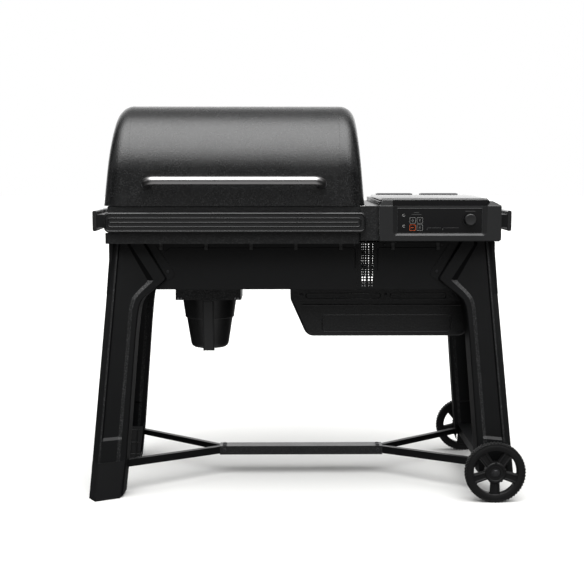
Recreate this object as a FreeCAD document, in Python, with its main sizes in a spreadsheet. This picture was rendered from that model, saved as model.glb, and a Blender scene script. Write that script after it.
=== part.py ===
import FreeCAD, Part
import math
import os
import Sketcher
from FreeCAD import Vector

# Pellet smoker grill, in millimetres. X runs to the right as seen by the cook, Y runs
# back, Z runs up. The origin is on the floor, under the middle of the whole grill.

SIZES = {
    # sheet and clearances
    "panel": 2.0,
    "lid_sheet": 1.6,
    "running_gap": 0.05,
    # lid
    "lid_left": -590.8,
    "lid_right": 172.5,
    "lid_left_lean": 0.114,
    "lid_right_lean": 0.087,
    "lid_front": -262.0,
    "lid_rear": 240.0,
    "lid_bottom": 865.0,
    "lid_top": 1160.0,
    "lid_front_radius": 210.0,
    "lid_rear_radius": 170.0,
    "lid_seam_left": -512.0,
    "lid_seam_right": 98.0,
    "lid_end_rounding": 46.0,
    "hinge_y": 250.0,
    "hinge_z": 868.0,
    "hinge_pin_radius": 4.0,
    "handle_radius": 13.0,
    "handle_left": -461.0,
    "handle_right": 45.0,
    "handle_reach": 38.0,
    "handle_bend": 26.0,
    "handle_foot_z": 927.0,
    "handle_bar_z": 939.0,
    # barrel tub
    "tub_left": -575.0,
    "tub_right": 160.0,
    "tub_front": -258.0,
    "tub_rear": 236.0,
    "tub_rim": 864.0,
    "tub_step": 764.0,
    "tub_floor": 622.0,
    "tub_waist": 204.0,
    "tub_waist_z": 690.0,
    "tub_keel": 110.0,
    # front rail, band and aprons
    "rail_left": -581.0,
    "rail_right": 172.0,
    "rail_front": -300.0,
    "rail_bottom": 791.0,
    "rail_top": 848.0,
    "bead_pitch": 12.7,
    "band_front": -277.0,
    "band_right": 152.0,
    "fascia_left": 158.5,
    "band_bottom": 757.0,
    "band_top": 788.0,
    "apron_y": 212.0,
    "apron_bottom": 617.0,
    "apron_left": -580.0,
    "apron_seam": 153.0,
    "apron_right": 560.0,
    "perforation_radius": 2.5,
    "perforation_pitch": 8.2,
    "perforation_first": 628.0,
    # side rails
    "side_rail_left": -620.0,
    "side_rail_right": 599.0,
    "side_rail_bottom": 792.0,
    "side_rail_top": 852.0,
    "side_rail_plate": 14.0,
    "side_rail_rear": 200.0,
    # legs and stretcher
    "leg_centre": -9.0,
    "leg_foot_x": -640.5,
    "leg_splay_x": 0.0924,
    "leg_foot_y": -302.0,
    "leg_splay_y": 0.085,
    "leg_sheet": 2.5,
    "left_leg_top": 756.5,
    "right_leg_top": 761.5,
    "right_leg_end": 66.0,
    "foot_cap_wall": 2.5,
    "foot_cap_height": 112.0,
    "bar_left": -267.0,
    "bar_right": 249.0,
    "bar_depth": 50.0,
    "bar_bottom": 69.5,
    "bar_top": 97.0,
    # wheels and axle
    "wheel_radius": 89.0,
    "wheel_x": 554.0,
    "wheel_outer_y": 329.0,
    "wheel_width": 28.0,
    "wheel_hub_radius": 31.0,
    "wheel_window_radius": 67.0,
    "wheel_spoke": 26.0,
    "wheel_spokes": 5,
    "axle_radius": 6.0,
    # keg
    "keg_x": -295.0,
    "keg_y": -29.0,
    "keg_wall": 1.5,
    "keg_base_z": 418.0,
    "keg_rim_z": 571.3,
    "keg_bead_z": 514.0,
    "keg_base_radius": 59.0,
    "keg_bead_radius": 75.5,
    "keg_rim_radius": 83.5,
    "keg_lip_radius": 92.0,
    "keg_bracket_x": -294.0,
    "keg_bracket_half": 99.0,
    "keg_bracket_bottom": 575.0,
    "keg_runner_front": -60.0,
    # hopper
    "hopper_left": 212.0,
    "hopper_right": 563.0,
    "hopper_bottom": 762.0,
    "hopper_deck": 878.0,
    "hopper_lid_left": 220.0,
    "hopper_lid_right": 533.0,
    "hopper_lid_front": -240.0,
    "hopper_lid_rear": 160.0,
    "hopper_lid_bottom": 881.0,
    "hopper_lid_top": 889.0,
    "hopper_hinge_y": 166.0,
    "hopper_hinge_z": 886.0,
    "chute_bottom": 608.0,
    "bin_wall": 1.5,
    # controls
    "bezel_front": -290.0,
    "bezel_rear": -262.0,
    "bezel_bottom": 766.0,
    "bezel_top": 883.0,
    "window_left": 263.0,
    "window_right": 507.0,
    "window_bottom": 788.0,
    "window_top": 858.5,
    "window_front": -287.0,
    "dial_x": 472.0,
    "dial_z": 827.5,
    "dial_radius": 17.0,
    "key_size": 17.8,
    "key_gap": 0.3,
    "key_x": 307.0,
    "key_z": 804.0,
    "key_pitch": 20.7,
    # auger, fan and fire pot
    "cover_left": -43.0,
    "cover_right": 503.0,
    "cover_front": -100.0,
    "cover_rear": 70.0,
    "cover_top": 610.0,
    "cover_bottom": 460.0,
    "auger_z": 580.0,
    "auger_tube_radius": 26.0,
    "auger_radius": 23.0,
    "auger_shaft_radius": 6.0,
    "auger_pitch": 40.0,
    "auger_left": 112.0,
    "auger_tube_right": 400.0,
    "fan_x": 225.0,
    "fan_z": 508.0,
    "fan_radius": 38.0,
    "pot_x": 60.0,
    "pot_radius": 55.0,
    "pot_bottom": 540.0,
    "pot_top": 690.0,
    # cooking surfaces
    "grate_z": 788.0,
    "grate_thick": 6.0,
    "rack_z": 930.0,
}

doc = FreeCAD.newDocument("pellet_grill")
sheet = doc.addObject("Spreadsheet::Sheet", "Sizes")
for row, (alias, number) in enumerate(SIZES.items(), start=1):
    sheet.set(f"A{row}", alias)
    sheet.set(f"B{row}", str(number))
    sheet.setAlias(f"B{row}", alias)
doc.recompute()


class Size:
    """A length that carries its number and the sheet expression that gives it."""

    def __init__(self, number, text=None):
        self.number = float(number)
        self.text = text or f"{float(number):.6f}"

    def _with(self, other, sign, number):
        return Size(number, f"({self.text} {sign} {other.text})")

    def __add__(self, other):
        other = as_size(other)
        return self._with(other, "+", self.number + other.number)

    def __sub__(self, other):
        other = as_size(other)
        return self._with(other, "-", self.number - other.number)

    def __mul__(self, other):
        other = as_size(other)
        return self._with(other, "*", self.number * other.number)

    def __truediv__(self, other):
        other = as_size(other)
        return self._with(other, "/", self.number / other.number)

    def __radd__(self, other):
        return as_size(other) + self

    def __rsub__(self, other):
        return as_size(other) - self

    def __rmul__(self, other):
        return as_size(other) * self

    def __neg__(self):
        return Size(-self.number, f"(0 - {self.text})")


def as_size(value):
    return value if isinstance(value, Size) else Size(value)


class Sheet:
    """Reads the spreadsheet: S.lid_top is the Size of the cell with that alias."""

    def __getattr__(self, alias):
        return Size(sheet.get(alias), f"Sizes.{alias}")


S = Sheet()
NODES = []


def bind(thing, path, value):
    thing.setExpression(path, as_size(value).text)


def node(label, thing):
    """Marks an object as one separate piece of the grill."""
    thing.Label = label
    NODES.append(thing)
    return thing


def failed(thing):
    return any(word in ("Invalid", "Error") for word in thing.State)


# ---------------------------------------------------------------- sketches and features

PLANES = {"X": "YZ_Plane", "Y": "XZ_Plane", "Z": "XY_Plane"}
NORMAL_SIGN = {"X": 1, "Y": -1, "Z": 1}


def new_body(name):
    return doc.addObject("PartDesign::Body", name)


def new_sketch(body, axis, place):
    """A sketch across the given axis, at the given coordinate along it."""
    sketch = body.newObject("Sketcher::SketchObject", body.Name + "_sketch")
    plane = [item for item in body.Origin.OriginFeatures if item.Role == PLANES[axis]][0]
    sketch.AttachmentSupport = (plane, [""])
    sketch.MapMode = "FlatFace"
    bind(sketch, "AttachmentOffset.Base.z", as_size(place) * NORMAL_SIGN[axis])
    return sketch


def pin_point(sketch, edge, end, point):
    """Fixes one end of a sketch edge to the sheet's coordinates."""
    across, up = as_size(point[0]), as_size(point[1])
    for kind, value in (("DistanceX", across), ("DistanceY", up)):
        rule = sketch.addConstraint(Sketcher.Constraint(kind, -1, 1, edge, end, value.number))
        sketch.setExpression(f"Constraints[{rule}]", value.text)


def add_loop(sketch, corners):
    """A closed outline of straight edges through the corners."""
    first = sketch.GeometryCount
    flat = [Vector(as_size(across).number, as_size(up).number, 0) for across, up in corners]
    count = len(flat)
    for index in range(count):
        following = flat[(index + 1) % count]
        sketch.addGeometry(Part.LineSegment(flat[index], following))
    for index in range(count):
        following = first + (index + 1) % count
        sketch.addConstraint(Sketcher.Constraint("Coincident", first + index, 2, following, 1))
    for index, corner in enumerate(corners):
        pin_point(sketch, first + index, 1, corner)


def add_circle(sketch, centre, radius):
    middle = Vector(as_size(centre[0]).number, as_size(centre[1]).number, 0)
    radius = as_size(radius)
    edge = sketch.addGeometry(Part.Circle(middle, Vector(0, 0, 1), radius.number))
    rule = sketch.addConstraint(Sketcher.Constraint("Radius", edge, radius.number))
    sketch.setExpression(f"Constraints[{rule}]", radius.text)
    pin_point(sketch, edge, 3, centre)


def extrude(body, sketch, length):
    pad = body.newObject("PartDesign::Pad", body.Name + "_pad")
    pad.Profile = sketch
    bind(pad, "Length", length)
    doc.recompute()
    return pad


def add_prism(body, axis, corners, start, end):
    """Adds an outline extruded along an axis from start to end."""
    place = end if axis == "Y" else start
    sketch = new_sketch(body, axis, place)
    add_loop(sketch, corners)
    return extrude(body, sketch, as_size(end) - start)


def add_disc(body, axis, centre, radius, start, end, bore=None):
    place = end if axis == "Y" else start
    sketch = new_sketch(body, axis, place)
    add_circle(sketch, centre, radius)
    if bore is not None:
        add_circle(sketch, centre, bore)
    return extrude(body, sketch, as_size(end) - start)


def prism(name, axis, corners, start, end):
    body = new_body(name)
    add_prism(body, axis, corners, start, end)
    return body


def block(name, low, high):
    """A body that is one box between two corners."""
    return prism(name, "Z", rectangle(low[0], low[1], high[0], high[1]), low[2], high[2])


def rectangle(left, bottom, right, top):
    return [(left, bottom), (right, bottom), (right, top), (left, top)]


def take_away(body, sketch, length, backwards=False):
    """Cuts a sketch into a body, and makes sure that something was cut."""
    before = body.Shape.Volume
    pocket = body.newObject("PartDesign::Pocket", body.Name + "_pocket")
    pocket.Profile = sketch
    pocket.Reversed = backwards
    bind(pocket, "Length", length)
    doc.recompute()
    if failed(pocket) or not body.Shape.Volume < before - 0.01:
        raise RuntimeError(f"{body.Name}: {pocket.Name} cuts nothing")
    return pocket


def cut_prism(body, axis, corners, start, end):
    """Cuts an outline out of a body along an axis, from start to end."""
    place = start if axis == "Y" else end
    sketch = new_sketch(body, axis, place)
    add_loop(sketch, corners)
    return take_away(body, sketch, as_size(end) - start)


def cut_from_behind(body, corners, start, end):
    """Cuts an outline out of a body along Y, from its rear end at end to start."""
    sketch = new_sketch(body, "Y", end)
    add_loop(sketch, corners)
    return take_away(body, sketch, as_size(end) - start, backwards=True)


def drill(body, axis, centres, radius, start, end):
    """Round holes along an axis, from start to end."""
    place = start if axis == "Y" else end
    sketch = new_sketch(body, axis, place)
    for centre in centres:
        add_circle(sketch, centre, radius)
    return take_away(body, sketch, as_size(end) - start)


def dress(body, kind, radius, wanted):
    """Rounds or chamfers the edges of a body that the test picks out."""
    base = body.Tip
    names = [f"Edge{index + 1}" for index, edge in enumerate(base.Shape.Edges) if wanted(edge)]
    if not names:
        raise RuntimeError(f"{body.Name}: no edge to dress")
    feature = body.newObject("PartDesign::" + kind, body.Name + "_" + kind.lower())
    feature.Base = (base, names)
    bind(feature, "Radius" if kind == "Fillet" else "Size", radius)
    doc.recompute()
    return feature


def hollow(body, wall, open_towards):
    """Turns a solid body into a skin of the given wall, open on the given sides."""
    base = body.Tip
    names = []
    for index, face in enumerate(base.Shape.Faces):
        normal = face.normalAt(*face_middle(face))
        centre = face.CenterOfMass
        if any(closes(face, normal, centre, side, base.Shape.Vertexes) for side in open_towards):
            names.append(f"Face{index + 1}")
    feature = body.newObject("PartDesign::Thickness", body.Name + "_wall")
    feature.Base = (base, names)
    feature.Mode = "Skin"
    feature.Join = "Intersection"
    feature.Reversed = True
    bind(feature, "Value", wall)
    doc.recompute()
    if failed(feature) or feature.Shape.Volume > base.Shape.Volume * 0.6:
        raise RuntimeError(f"{body.Name}: the inside was not taken out")
    return feature


def face_middle(face):
    low_u, high_u, low_v, high_v = face.ParameterRange
    return (low_u + high_u) / 2, (low_v + high_v) / 2


def closes(face, normal, centre, side, corners):
    """True if a flat face is the one that closes the given side, such as +Z."""
    if not isinstance(face.Surface, Part.Plane):
        return False
    index = "XYZ".index(side[1])
    sign = 1 if side[0] == "+" else -1
    limit = max(corner.Point[index] * sign for corner in corners) * sign
    return normal[index] * sign > 0.99 and abs(centre[index] - limit) < 0.01


def repeat(body, feature, axis, step, count):
    """Repeats a feature along an axis with a fixed pitch."""
    base = [item for item in body.Origin.OriginFeatures if item.Role == axis + "_Axis"][0]
    pattern = body.newObject("PartDesign::LinearPattern", body.Name + "_row")
    pattern.Originals = [feature]
    pattern.Direction = (base, [""])
    bind(pattern, "Length", as_size(step) * (count - 1))
    pattern.Occurrences = count
    body.Tip = pattern
    doc.recompute()
    return pattern


def along(axis):
    """A test for straight edges that run along an axis."""
    index = "XYZ".index(axis)

    def test(edge):
        if not isinstance(edge.Curve, Part.Line):
            return False
        return abs(abs(edge.Curve.Direction[index]) - 1) < 1e-6

    return test


# -------------------------------------------------------------- groups of plain solids

def plain_box(name, low, high):
    box = doc.addObject("Part::Box", name)
    for path, start, end in zip(("Length", "Width", "Height"), low, high):
        bind(box, path, as_size(end) - start)
    for path, start in zip("xyz", low):
        bind(box, "Placement.Base." + path, start)
    return box


TURNS = {"X": (Vector(0, 1, 0), 90), "Y": (Vector(1, 0, 0), -90), "Z": (Vector(0, 0, 1), 0)}


def plain_rod(name, axis, centre, radius, start, end):
    """A round bar along an axis; centre holds its other two coordinates, in order."""
    rod = doc.addObject("Part::Cylinder", name)
    bind(rod, "Radius", radius)
    bind(rod, "Height", as_size(end) - start)
    turn, angle = TURNS[axis]
    rod.Placement = FreeCAD.Placement(Vector(0, 0, 0), FreeCAD.Rotation(turn, angle))
    base = list(centre)
    base.insert("XYZ".index(axis), start)
    for path, value in zip("xyz", base):
        bind(rod, "Placement.Base." + path, value)
    return rod


def joined(name, pieces):
    fuse = doc.addObject("Part::MultiFuse", name)
    fuse.Shapes = pieces
    return fuse


def minus(name, base, tool):
    cut = doc.addObject("Part::Cut", name)
    cut.Base = base
    cut.Tool = tool
    return cut


def group(name, pieces):
    compound = doc.addObject("Part::Compound", name)
    compound.Links = pieces
    return node(name, compound)


# ------------------------------------------------------------------------------ barrel

def barrel_tub():
    """The welded lower half of the barrel, open at the top."""
    side = [
        (S.tub_front, S.tub_rim),
        (S.tub_front, S.tub_step),
        (-S.tub_waist, S.tub_step),
        (-S.tub_waist, S.tub_waist_z),
        (-S.tub_keel, S.tub_floor),
        (S.tub_keel, S.tub_floor),
        (S.tub_waist, S.tub_waist_z),
        (S.tub_waist, S.tub_step),
        (S.tub_rear, S.tub_step),
        (S.tub_rear, S.tub_rim),
    ]
    body = prism("barrel_tub", "X", side, S.tub_left, S.tub_right)
    hollow(body, S.panel, ["+Z"])
    under = S.tub_floor - 1
    over = S.tub_floor + S.panel + 1
    drill(body, "Z", [(S.keg_x, S.keg_y)], 45, under, over)
    drill(body, "Z", [(S.pot_x, 0)], S.pot_radius + 1, under, over)
    smoke_hole = rectangle(-370, 800, -30, 840)
    cut_prism(body, "Y", smoke_hole, S.tub_rear - 5, S.tub_rear + 1)
    node("barrel_tub", body)


def front_rail():
    """The ribbed accessory rail: five beads between four grooves, hollow at the back."""
    face = rectangle(S.rail_left, S.rail_bottom, S.rail_right, S.rail_top)
    body = prism("front_rail", "Y", face, S.rail_front, S.tub_front)
    dress(body, "Fillet", 12, along("Y"))
    wall, face_depth = 4, 12
    cavity = rectangle(S.rail_left + wall, S.rail_bottom + wall,
                       S.rail_right - wall, S.rail_top - wall)
    cut_from_behind(body, cavity, S.rail_front + face_depth, S.tub_front)
    clearance = 0.3
    end_notch = rectangle(S.fascia_left - clearance, S.rail_bottom - 1,
                          S.rail_right + 1, S.rail_top + 1)
    cut_from_behind(body, end_notch, S.band_front - clearance, S.tub_front)
    groove_half = 3.2
    middle = (S.rail_bottom + S.rail_top) / 2
    low = middle - S.bead_pitch * 1.5 - groove_half
    slot = rectangle(S.rail_left + 15, low, S.rail_right - 15, low + groove_half * 2)
    first = cut_prism(body, "Y", slot, S.rail_front, S.rail_front + 6)
    repeat(body, first, "Z", S.bead_pitch, 4)
    node("front_rail", body)


def lower_band():
    """The folded band under the rail, which closes the step of the barrel."""
    wall = S.panel
    front, back = S.band_front, -S.apron_y
    fold = [
        (front, S.band_bottom),
        (back, S.band_bottom),
        (back, S.band_bottom + wall),
        (front + wall, S.band_bottom + wall),
        (front + wall, S.band_top - wall),
        (S.tub_front, S.band_top - wall),
        (S.tub_front, S.band_top),
        (front, S.band_top),
    ]
    node("lower_band", prism("lower_band", "X", fold, S.apron_left, S.band_right))


def side_rail(name, outer, plate, attached):
    """A hook-profile accessory rail: an outer plate on a narrower neck."""
    bottom, top = S.side_rail_bottom, S.side_rail_top
    lip = 11
    shape = [
        (outer, bottom),
        (plate, bottom),
        (plate, bottom + lip),
        (attached, bottom + lip),
        (attached, top - lip),
        (plate, top - lip),
        (plate, top),
        (outer, top),
    ]
    body = prism(name, "Y", shape, S.tub_front + 0.5, S.side_rail_rear)
    edge_x = as_size(outer).number

    def outer_corner(edge):
        return along("Y")(edge) and abs(edge.Vertexes[0].X - edge_x) < 0.1

    dress(body, "Fillet", 5, outer_corner)
    node(name, body)


def aprons():
    """The flat front and rear skirts below the barrel and the hopper."""
    front, wall = -S.apron_y, S.panel
    back = front + wall
    top = S.band_bottom
    left = prism("apron_left", "Y", rectangle(S.apron_left, S.apron_bottom, S.apron_seam - 0.5, top),
                 front, back)
    node("apron_left", left)
    right_face = rectangle(S.apron_seam, S.apron_bottom, S.apron_right, top)
    right = prism("apron_right", "Y", right_face, front, back)
    ledge = rectangle(215, front, 555, S.cover_front + 12)
    add_prism(right, "Z", ledge, S.apron_bottom, S.apron_bottom + wall)
    columns = (168.3, 175.8, 187.6, 196.8)
    row = [(across, S.perforation_first) for across in columns]
    holes = drill(right, "Y", row, S.perforation_radius, front, back)
    repeat(right, holes, "Z", S.perforation_pitch, 16)
    node("apron_right", right)
    rear = prism("apron_rear", "Y", rectangle(S.apron_left, S.apron_bottom, S.apron_right, top),
                 S.apron_y - wall, S.apron_y)
    window = rectangle(190, S.apron_bottom - 1, 246, 728)
    cut_prism(rear, "Y", window, S.apron_y - wall, S.apron_y)
    node("apron_rear", rear)


HOOK_X = (-426, -293.5, -161, -28.5, 104, 258, 391)


def tool_hooks():
    """Small upturned hooks along the top of the front aprons."""
    pieces = []
    face = -S.apron_y
    for index, middle in enumerate(HOOK_X):
        left, right = middle - 4.5, middle + 4.5
        plate = plain_box(f"hook_plate_{index}", (left, face - 2, 735), (right, face, 756))
        floor = plain_box(f"hook_floor_{index}", (left, face - 9, 735), (right, face - 1, 737))
        lip = plain_box(f"hook_lip_{index}", (left, face - 9, 735), (right, face - 7, 743))
        pieces.append(joined(f"hook_{index}", [plate, floor, lip]))
    group("tool_hooks", pieces)


def panel_screws():
    """Screw heads on the aprons and leg flanges, and the posts that hold the auger cover."""
    face = -S.apron_y
    pieces = []
    for index, across in enumerate((144.6, 234, 403)):
        pieces.append(plain_rod(f"apron_screw_{index}", "Y", (across, 750.5), 3.2, face - 2.5, face))
    flange_face = S.apron_y + S.leg_sheet
    for index, sign in enumerate((1, -1)):
        across = S.leg_centre + 397.5 * sign
        pieces.append(plain_rod(f"flange_screw_front_{index}", "Y", (across, 671),
                                4, -flange_face - 2.5, -flange_face))
        pieces.append(plain_rod(f"flange_screw_rear_{index}", "Y", (across, 671),
                                4, flange_face, flange_face + 2.5))
    for index, across in enumerate((0, 130)):
        pieces.append(plain_rod(f"cover_post_{index}", "Z", (across, -94), 3,
                                S.cover_top, S.tub_floor))
    for index, across in enumerate((300, 440)):
        pieces.append(plain_rod(f"cover_post_right_{index}", "Z", (across, -94), 3,
                                S.cover_top, S.apron_bottom))
    for index, across in enumerate((-9.2, 248, 458)):
        pieces.append(plain_rod(f"cover_screw_{index}", "Y", (across, 588), 3.5,
                                S.cover_front - 2.5, S.cover_front))
    group("panel_screws", pieces)


# -------------------------------------------------------------------------------- legs

CREASE = 22.0
CHAMFER = 35.0
FACE_TWIST = 0.43 / 757
FACE_SLOPE = 0.53


def leg_outline(height, width, side_end, flange_end):
    """Outer skin of the front left leg at one height, from the back of its side to
    the back of its return flange. The face turns to the front as it rises."""
    outer = S.leg_foot_x.number + S.leg_splay_x.number * height
    corner = S.leg_foot_y.number + S.leg_splay_y.number * height
    slope = FACE_SLOPE - FACE_TWIST * height
    inner_y = corner + slope * (width - CREASE)
    chamfer_y = min(corner + CHAMFER, side_end - 8)
    return [
        Vector(outer + 1, side_end, height),
        Vector(outer, chamfer_y, height),
        Vector(outer + CREASE, corner, height),
        Vector(outer + width, inner_y, height),
        Vector(outer + width + 3, flange_end, height),
    ]


def offset_line(points, distance, closed=False):
    """The points moved to the left of their line by a distance, with mitred corners."""
    count = len(points)
    moved = []
    for index, point in enumerate(points):
        before = points[index - 1] if closed or index > 0 else None
        after = points[(index + 1) % count] if closed or index < count - 1 else None
        sides = []
        if before is not None:
            sides.append((point - before).normalize())
        if after is not None:
            sides.append((after - point).normalize())
        normals = [Vector(-side.y, side.x, 0) for side in sides]
        mitre = Vector(0, 0, 0)
        for normal in normals:
            mitre = mitre + normal
        mitre.normalize()
        reach = distance / max(mitre.dot(normals[0]), 0.2)
        moved.append(point + mitre * reach)
    return moved


def closed_wire(points):
    return Part.makePolygon(points + [points[0]])


# height, width of the face, and how far back the side and the return flange reach
# (None: a fixed depth behind the corner)
LEG_STATIONS = (
    (0.0, 86.5, None, None),
    (112.0, 91.0, None, None),
    (545.0, 92.5, None, None),
    (606.0, 122.0, -213.0, -213.0),
    (647.0, 169.0, -213.0, -213.0),
    (756.5, 97.5, -213.0, -213.0),
)
SIDE_DEPTH = 95.0
FLANGE_DEPTH = 66.0


def leg_station(height):
    """Width and depths of the leg at any height, between the listed stations."""
    last = LEG_STATIONS[-1]
    if height >= last[0]:
        return last[1:]
    for low, high in zip(LEG_STATIONS, LEG_STATIONS[1:]):
        if low[0] <= height <= high[0]:
            share = (height - low[0]) / (high[0] - low[0])
            width = low[1] + (high[1] - low[1]) * share
            return width, low[2], low[3]
    raise ValueError("height is below the foot")


def leg_section(height, side_end=None, flange_end=None, width=None):
    found = leg_station(height)
    if width is None:
        width = found[0]
    corner = S.leg_foot_y.number + S.leg_splay_y.number * height
    slope = FACE_SLOPE - FACE_TWIST * height
    side = side_end if side_end is not None else corner + SIDE_DEPTH
    flange = flange_end
    if flange is None:
        flange = corner + slope * (width - CREASE) + FLANGE_DEPTH
    return leg_outline(height, width, side, flange)


def leg_shape(bottom, top):
    """One stamped channel with its gusset and mounting flange."""
    heights = [bottom] + [row[0] for row in LEG_STATIONS if bottom < row[0] < top - 1] + [top]
    outer = []
    for height in heights:
        high = height > 600
        width = leg_station(min(height, 756.5))[0]
        outer.append(leg_section(height, -213.0 if high else None, -213.0 if high else None, width))
    spans = []
    for low, high in zip(outer, outer[1:]):
        wires = []
        for points in (low, high):
            inner = offset_line(points, S.leg_sheet.number)
            wires.append(closed_wire(points + inner[::-1]))
        spans.append(Part.makeLoft(wires, True, True))
    flange = [
        (-566, top), (-447, top), (-392, 676), (-387, 664),
        (-392, 652), (-405, 645), (-560, 640),
    ]
    face = -S.apron_y.number - S.leg_sheet.number
    plate = closed_wire([Vector(across, face, up) for across, up in flange])
    spans.append(Part.Face(plate).extrude(Vector(0, S.leg_sheet.number - 0.2, 0)))
    return spans[0].multiFuse(spans[1:]).removeSplitter()


def mirror_leg(shape, right, rear):
    if right:
        shape = shape.mirror(Vector(S.leg_centre.number, 0, 0), Vector(1, 0, 0))
    if rear:
        shape = shape.mirror(Vector(0, 0, 0), Vector(0, 1, 0))
    return shape


def solid_feature(name, shape):
    feature = doc.addObject("Part::Feature", name)
    feature.Shape = shape
    feature.Placement = FreeCAD.Placement()
    return node(name, feature)


CAP_FLOOR = 5.0


def cap_section(height):
    """The pocket the leg stands in, a little deeper than the leg at its open side."""
    points = leg_section(height)
    side = (points[0] - points[1]).normalize() * 2
    flange = (points[-1] - points[-2]).normalize() * 2
    loose = [points[0] + side] + points[1:-1] + [points[-1] + flange]
    return offset_line(loose, -0.05, closed=True)


def cap_shape():
    """The plastic foot cap that the left legs stand in."""
    wall, height = S.foot_cap_wall.number, S.foot_cap_height.number
    outside, inside = [], []
    for level in (0.0, height):
        outside.append(closed_wire(offset_line(cap_section(level), -wall, closed=True)))
    for level in (CAP_FLOOR, height):
        inside.append(closed_wire(cap_section(level)))
    shell = Part.makeLoft(outside, True, True)
    return shell.cut(Part.makeLoft(inside, True, True))


def legs():
    left = leg_shape(CAP_FLOOR, S.left_leg_top.number)
    right = leg_shape(S.right_leg_end.number, S.right_leg_top.number)
    axle = Part.makeCylinder(S.axle_radius.number + 0.2, 200,
                             Vector(2 * S.leg_centre.number - S.wheel_x.number, -350,
                                    S.wheel_radius.number), Vector(0, 1, 0))
    right = right.cut(axle)
    cap = cap_shape()
    for end, rear in (("front", False), ("rear", True)):
        solid_feature(f"leg_{end}_left", mirror_leg(left, False, rear))
        solid_feature(f"leg_{end}_right", mirror_leg(right, True, rear))
        solid_feature(f"foot_{end}_left", mirror_leg(cap, False, rear))


# --------------------------------------------------------------------------- stretcher

def stretcher_bar():
    half = S.bar_depth / 2
    ends = rectangle(-half, S.bar_bottom, half, S.bar_top)
    body = prism("stretcher_bar", "X", ends, S.bar_left, S.bar_right)
    hollow(body, S.panel, ["-Z", "-X", "+X"])
    node("stretcher_bar", body)


def angle_section(across, front, bottom, top, depth, sheet_wall):
    return closed_wire([
        Vector(across, front, bottom),
        Vector(across, front + sheet_wall, bottom),
        Vector(across, front + sheet_wall, top - sheet_wall),
        Vector(across, front + depth, top - sheet_wall),
        Vector(across, front + depth, top),
        Vector(across, front, top),
    ])


def stretcher_arms():
    """Four angle irons from the ends of the bar to the legs, each bolted inside the bar."""
    wall, tongue = S.panel.number, 32.0
    bar_end, leg_side = S.bar_left.number, -534.5
    low, high = S.bar_bottom.number + 2.5, S.bar_top.number - S.panel.number - 0.2
    inside = angle_section(bar_end + tongue, -22.0, low, high, 20.0, wall)
    mouth = angle_section(bar_end, -22.0, low, high, 20.0, wall)
    at_leg = angle_section(leg_side, -212.0, 80.0, 102.0, 20.0, wall)
    arm = Part.makeLoft([inside, mouth, at_leg], True, True)
    arms = [mirror_leg(arm, right, rear) for right in (False, True) for rear in (False, True)]
    solid_feature("stretcher_arms", Part.makeCompound(arms))


def frame_bolts():
    """Bolts at the ends of the stretcher bar and the two axle nuts."""
    half = S.bar_depth / 2
    pieces = []
    for end, across in (("left", S.bar_left + 15), ("right", S.bar_right - 15)):
        for index, sign in enumerate((1, -1)):
            pieces.append(plain_rod(f"bolt_top_{end}_{index}", "Z", (across, 12 * sign), 5,
                                    S.bar_top, S.bar_top + 3.5))
        pieces.append(plain_rod(f"bolt_front_{end}", "Y", (across, 84), 5, -half - 3.5, -half))
        pieces.append(plain_rod(f"bolt_rear_{end}", "Y", (across, 84), 5, half, half + 3.5))
    axle = (S.wheel_x, S.wheel_radius)
    nut_out, nut_in = S.wheel_outer_y - 0.5, S.wheel_outer_y - 5.5
    pieces.append(plain_rod("axle_nut_front", "Y", axle, 11, -nut_out, -nut_in))
    pieces.append(plain_rod("axle_nut_rear", "Y", axle, 11, nut_in, nut_out))
    group("frame_bolts", pieces)


def axle():
    channel = [(536, 66), (572, 66), (579, 104), (529, 104)]
    body = prism("axle_beam", "Y", channel, -258, 258)
    hollow(body, S.leg_sheet, ["-Z", "-Y", "+Y"])
    node("axle_beam", body)
    reach = S.wheel_outer_y - 5.5
    node("axle_rod", plain_rod("axle_rod", "Y", (S.wheel_x, S.wheel_radius), S.axle_radius,
                               -reach, reach))


def wheel(name, near, far, outside):
    """A moulded five-spoke wheel with a recess in its hub for the axle nut."""
    centre = (S.wheel_x, S.wheel_radius)
    body = new_body(name)
    add_disc(body, "Y", centre, S.wheel_radius, near, far, S.axle_radius + S.running_gap)
    step = 2 * math.pi / S.wheel_spokes.number
    half = S.wheel_spoke.number / 2
    sketch = new_sketch(body, "Y", near)
    for index in range(int(S.wheel_spokes.number)):
        first = -math.pi / 2 + step * index
        window = []
        for radius, sides in ((S.wheel_hub_radius.number + 2, (0, 1)),
                              (S.wheel_window_radius.number, (1, 0.75, 0.5, 0.25, 0))):
            margin = math.asin(half / radius)
            for share in sides:
                angle = first + margin + (step - 2 * margin) * share
                window.append((centre[0] + radius * math.cos(angle),
                               centre[1] + radius * math.sin(angle)))
        add_loop(sketch, window)
    take_away(body, sketch, as_size(far) - near)
    if outside == "front":
        drill(body, "Y", [centre], 14, near, near + 6)
    else:
        drill(body, "Y", [centre], 14, far - 6, far)
    node(name, body)


# --------------------------------------------------------------------------------- keg

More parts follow.
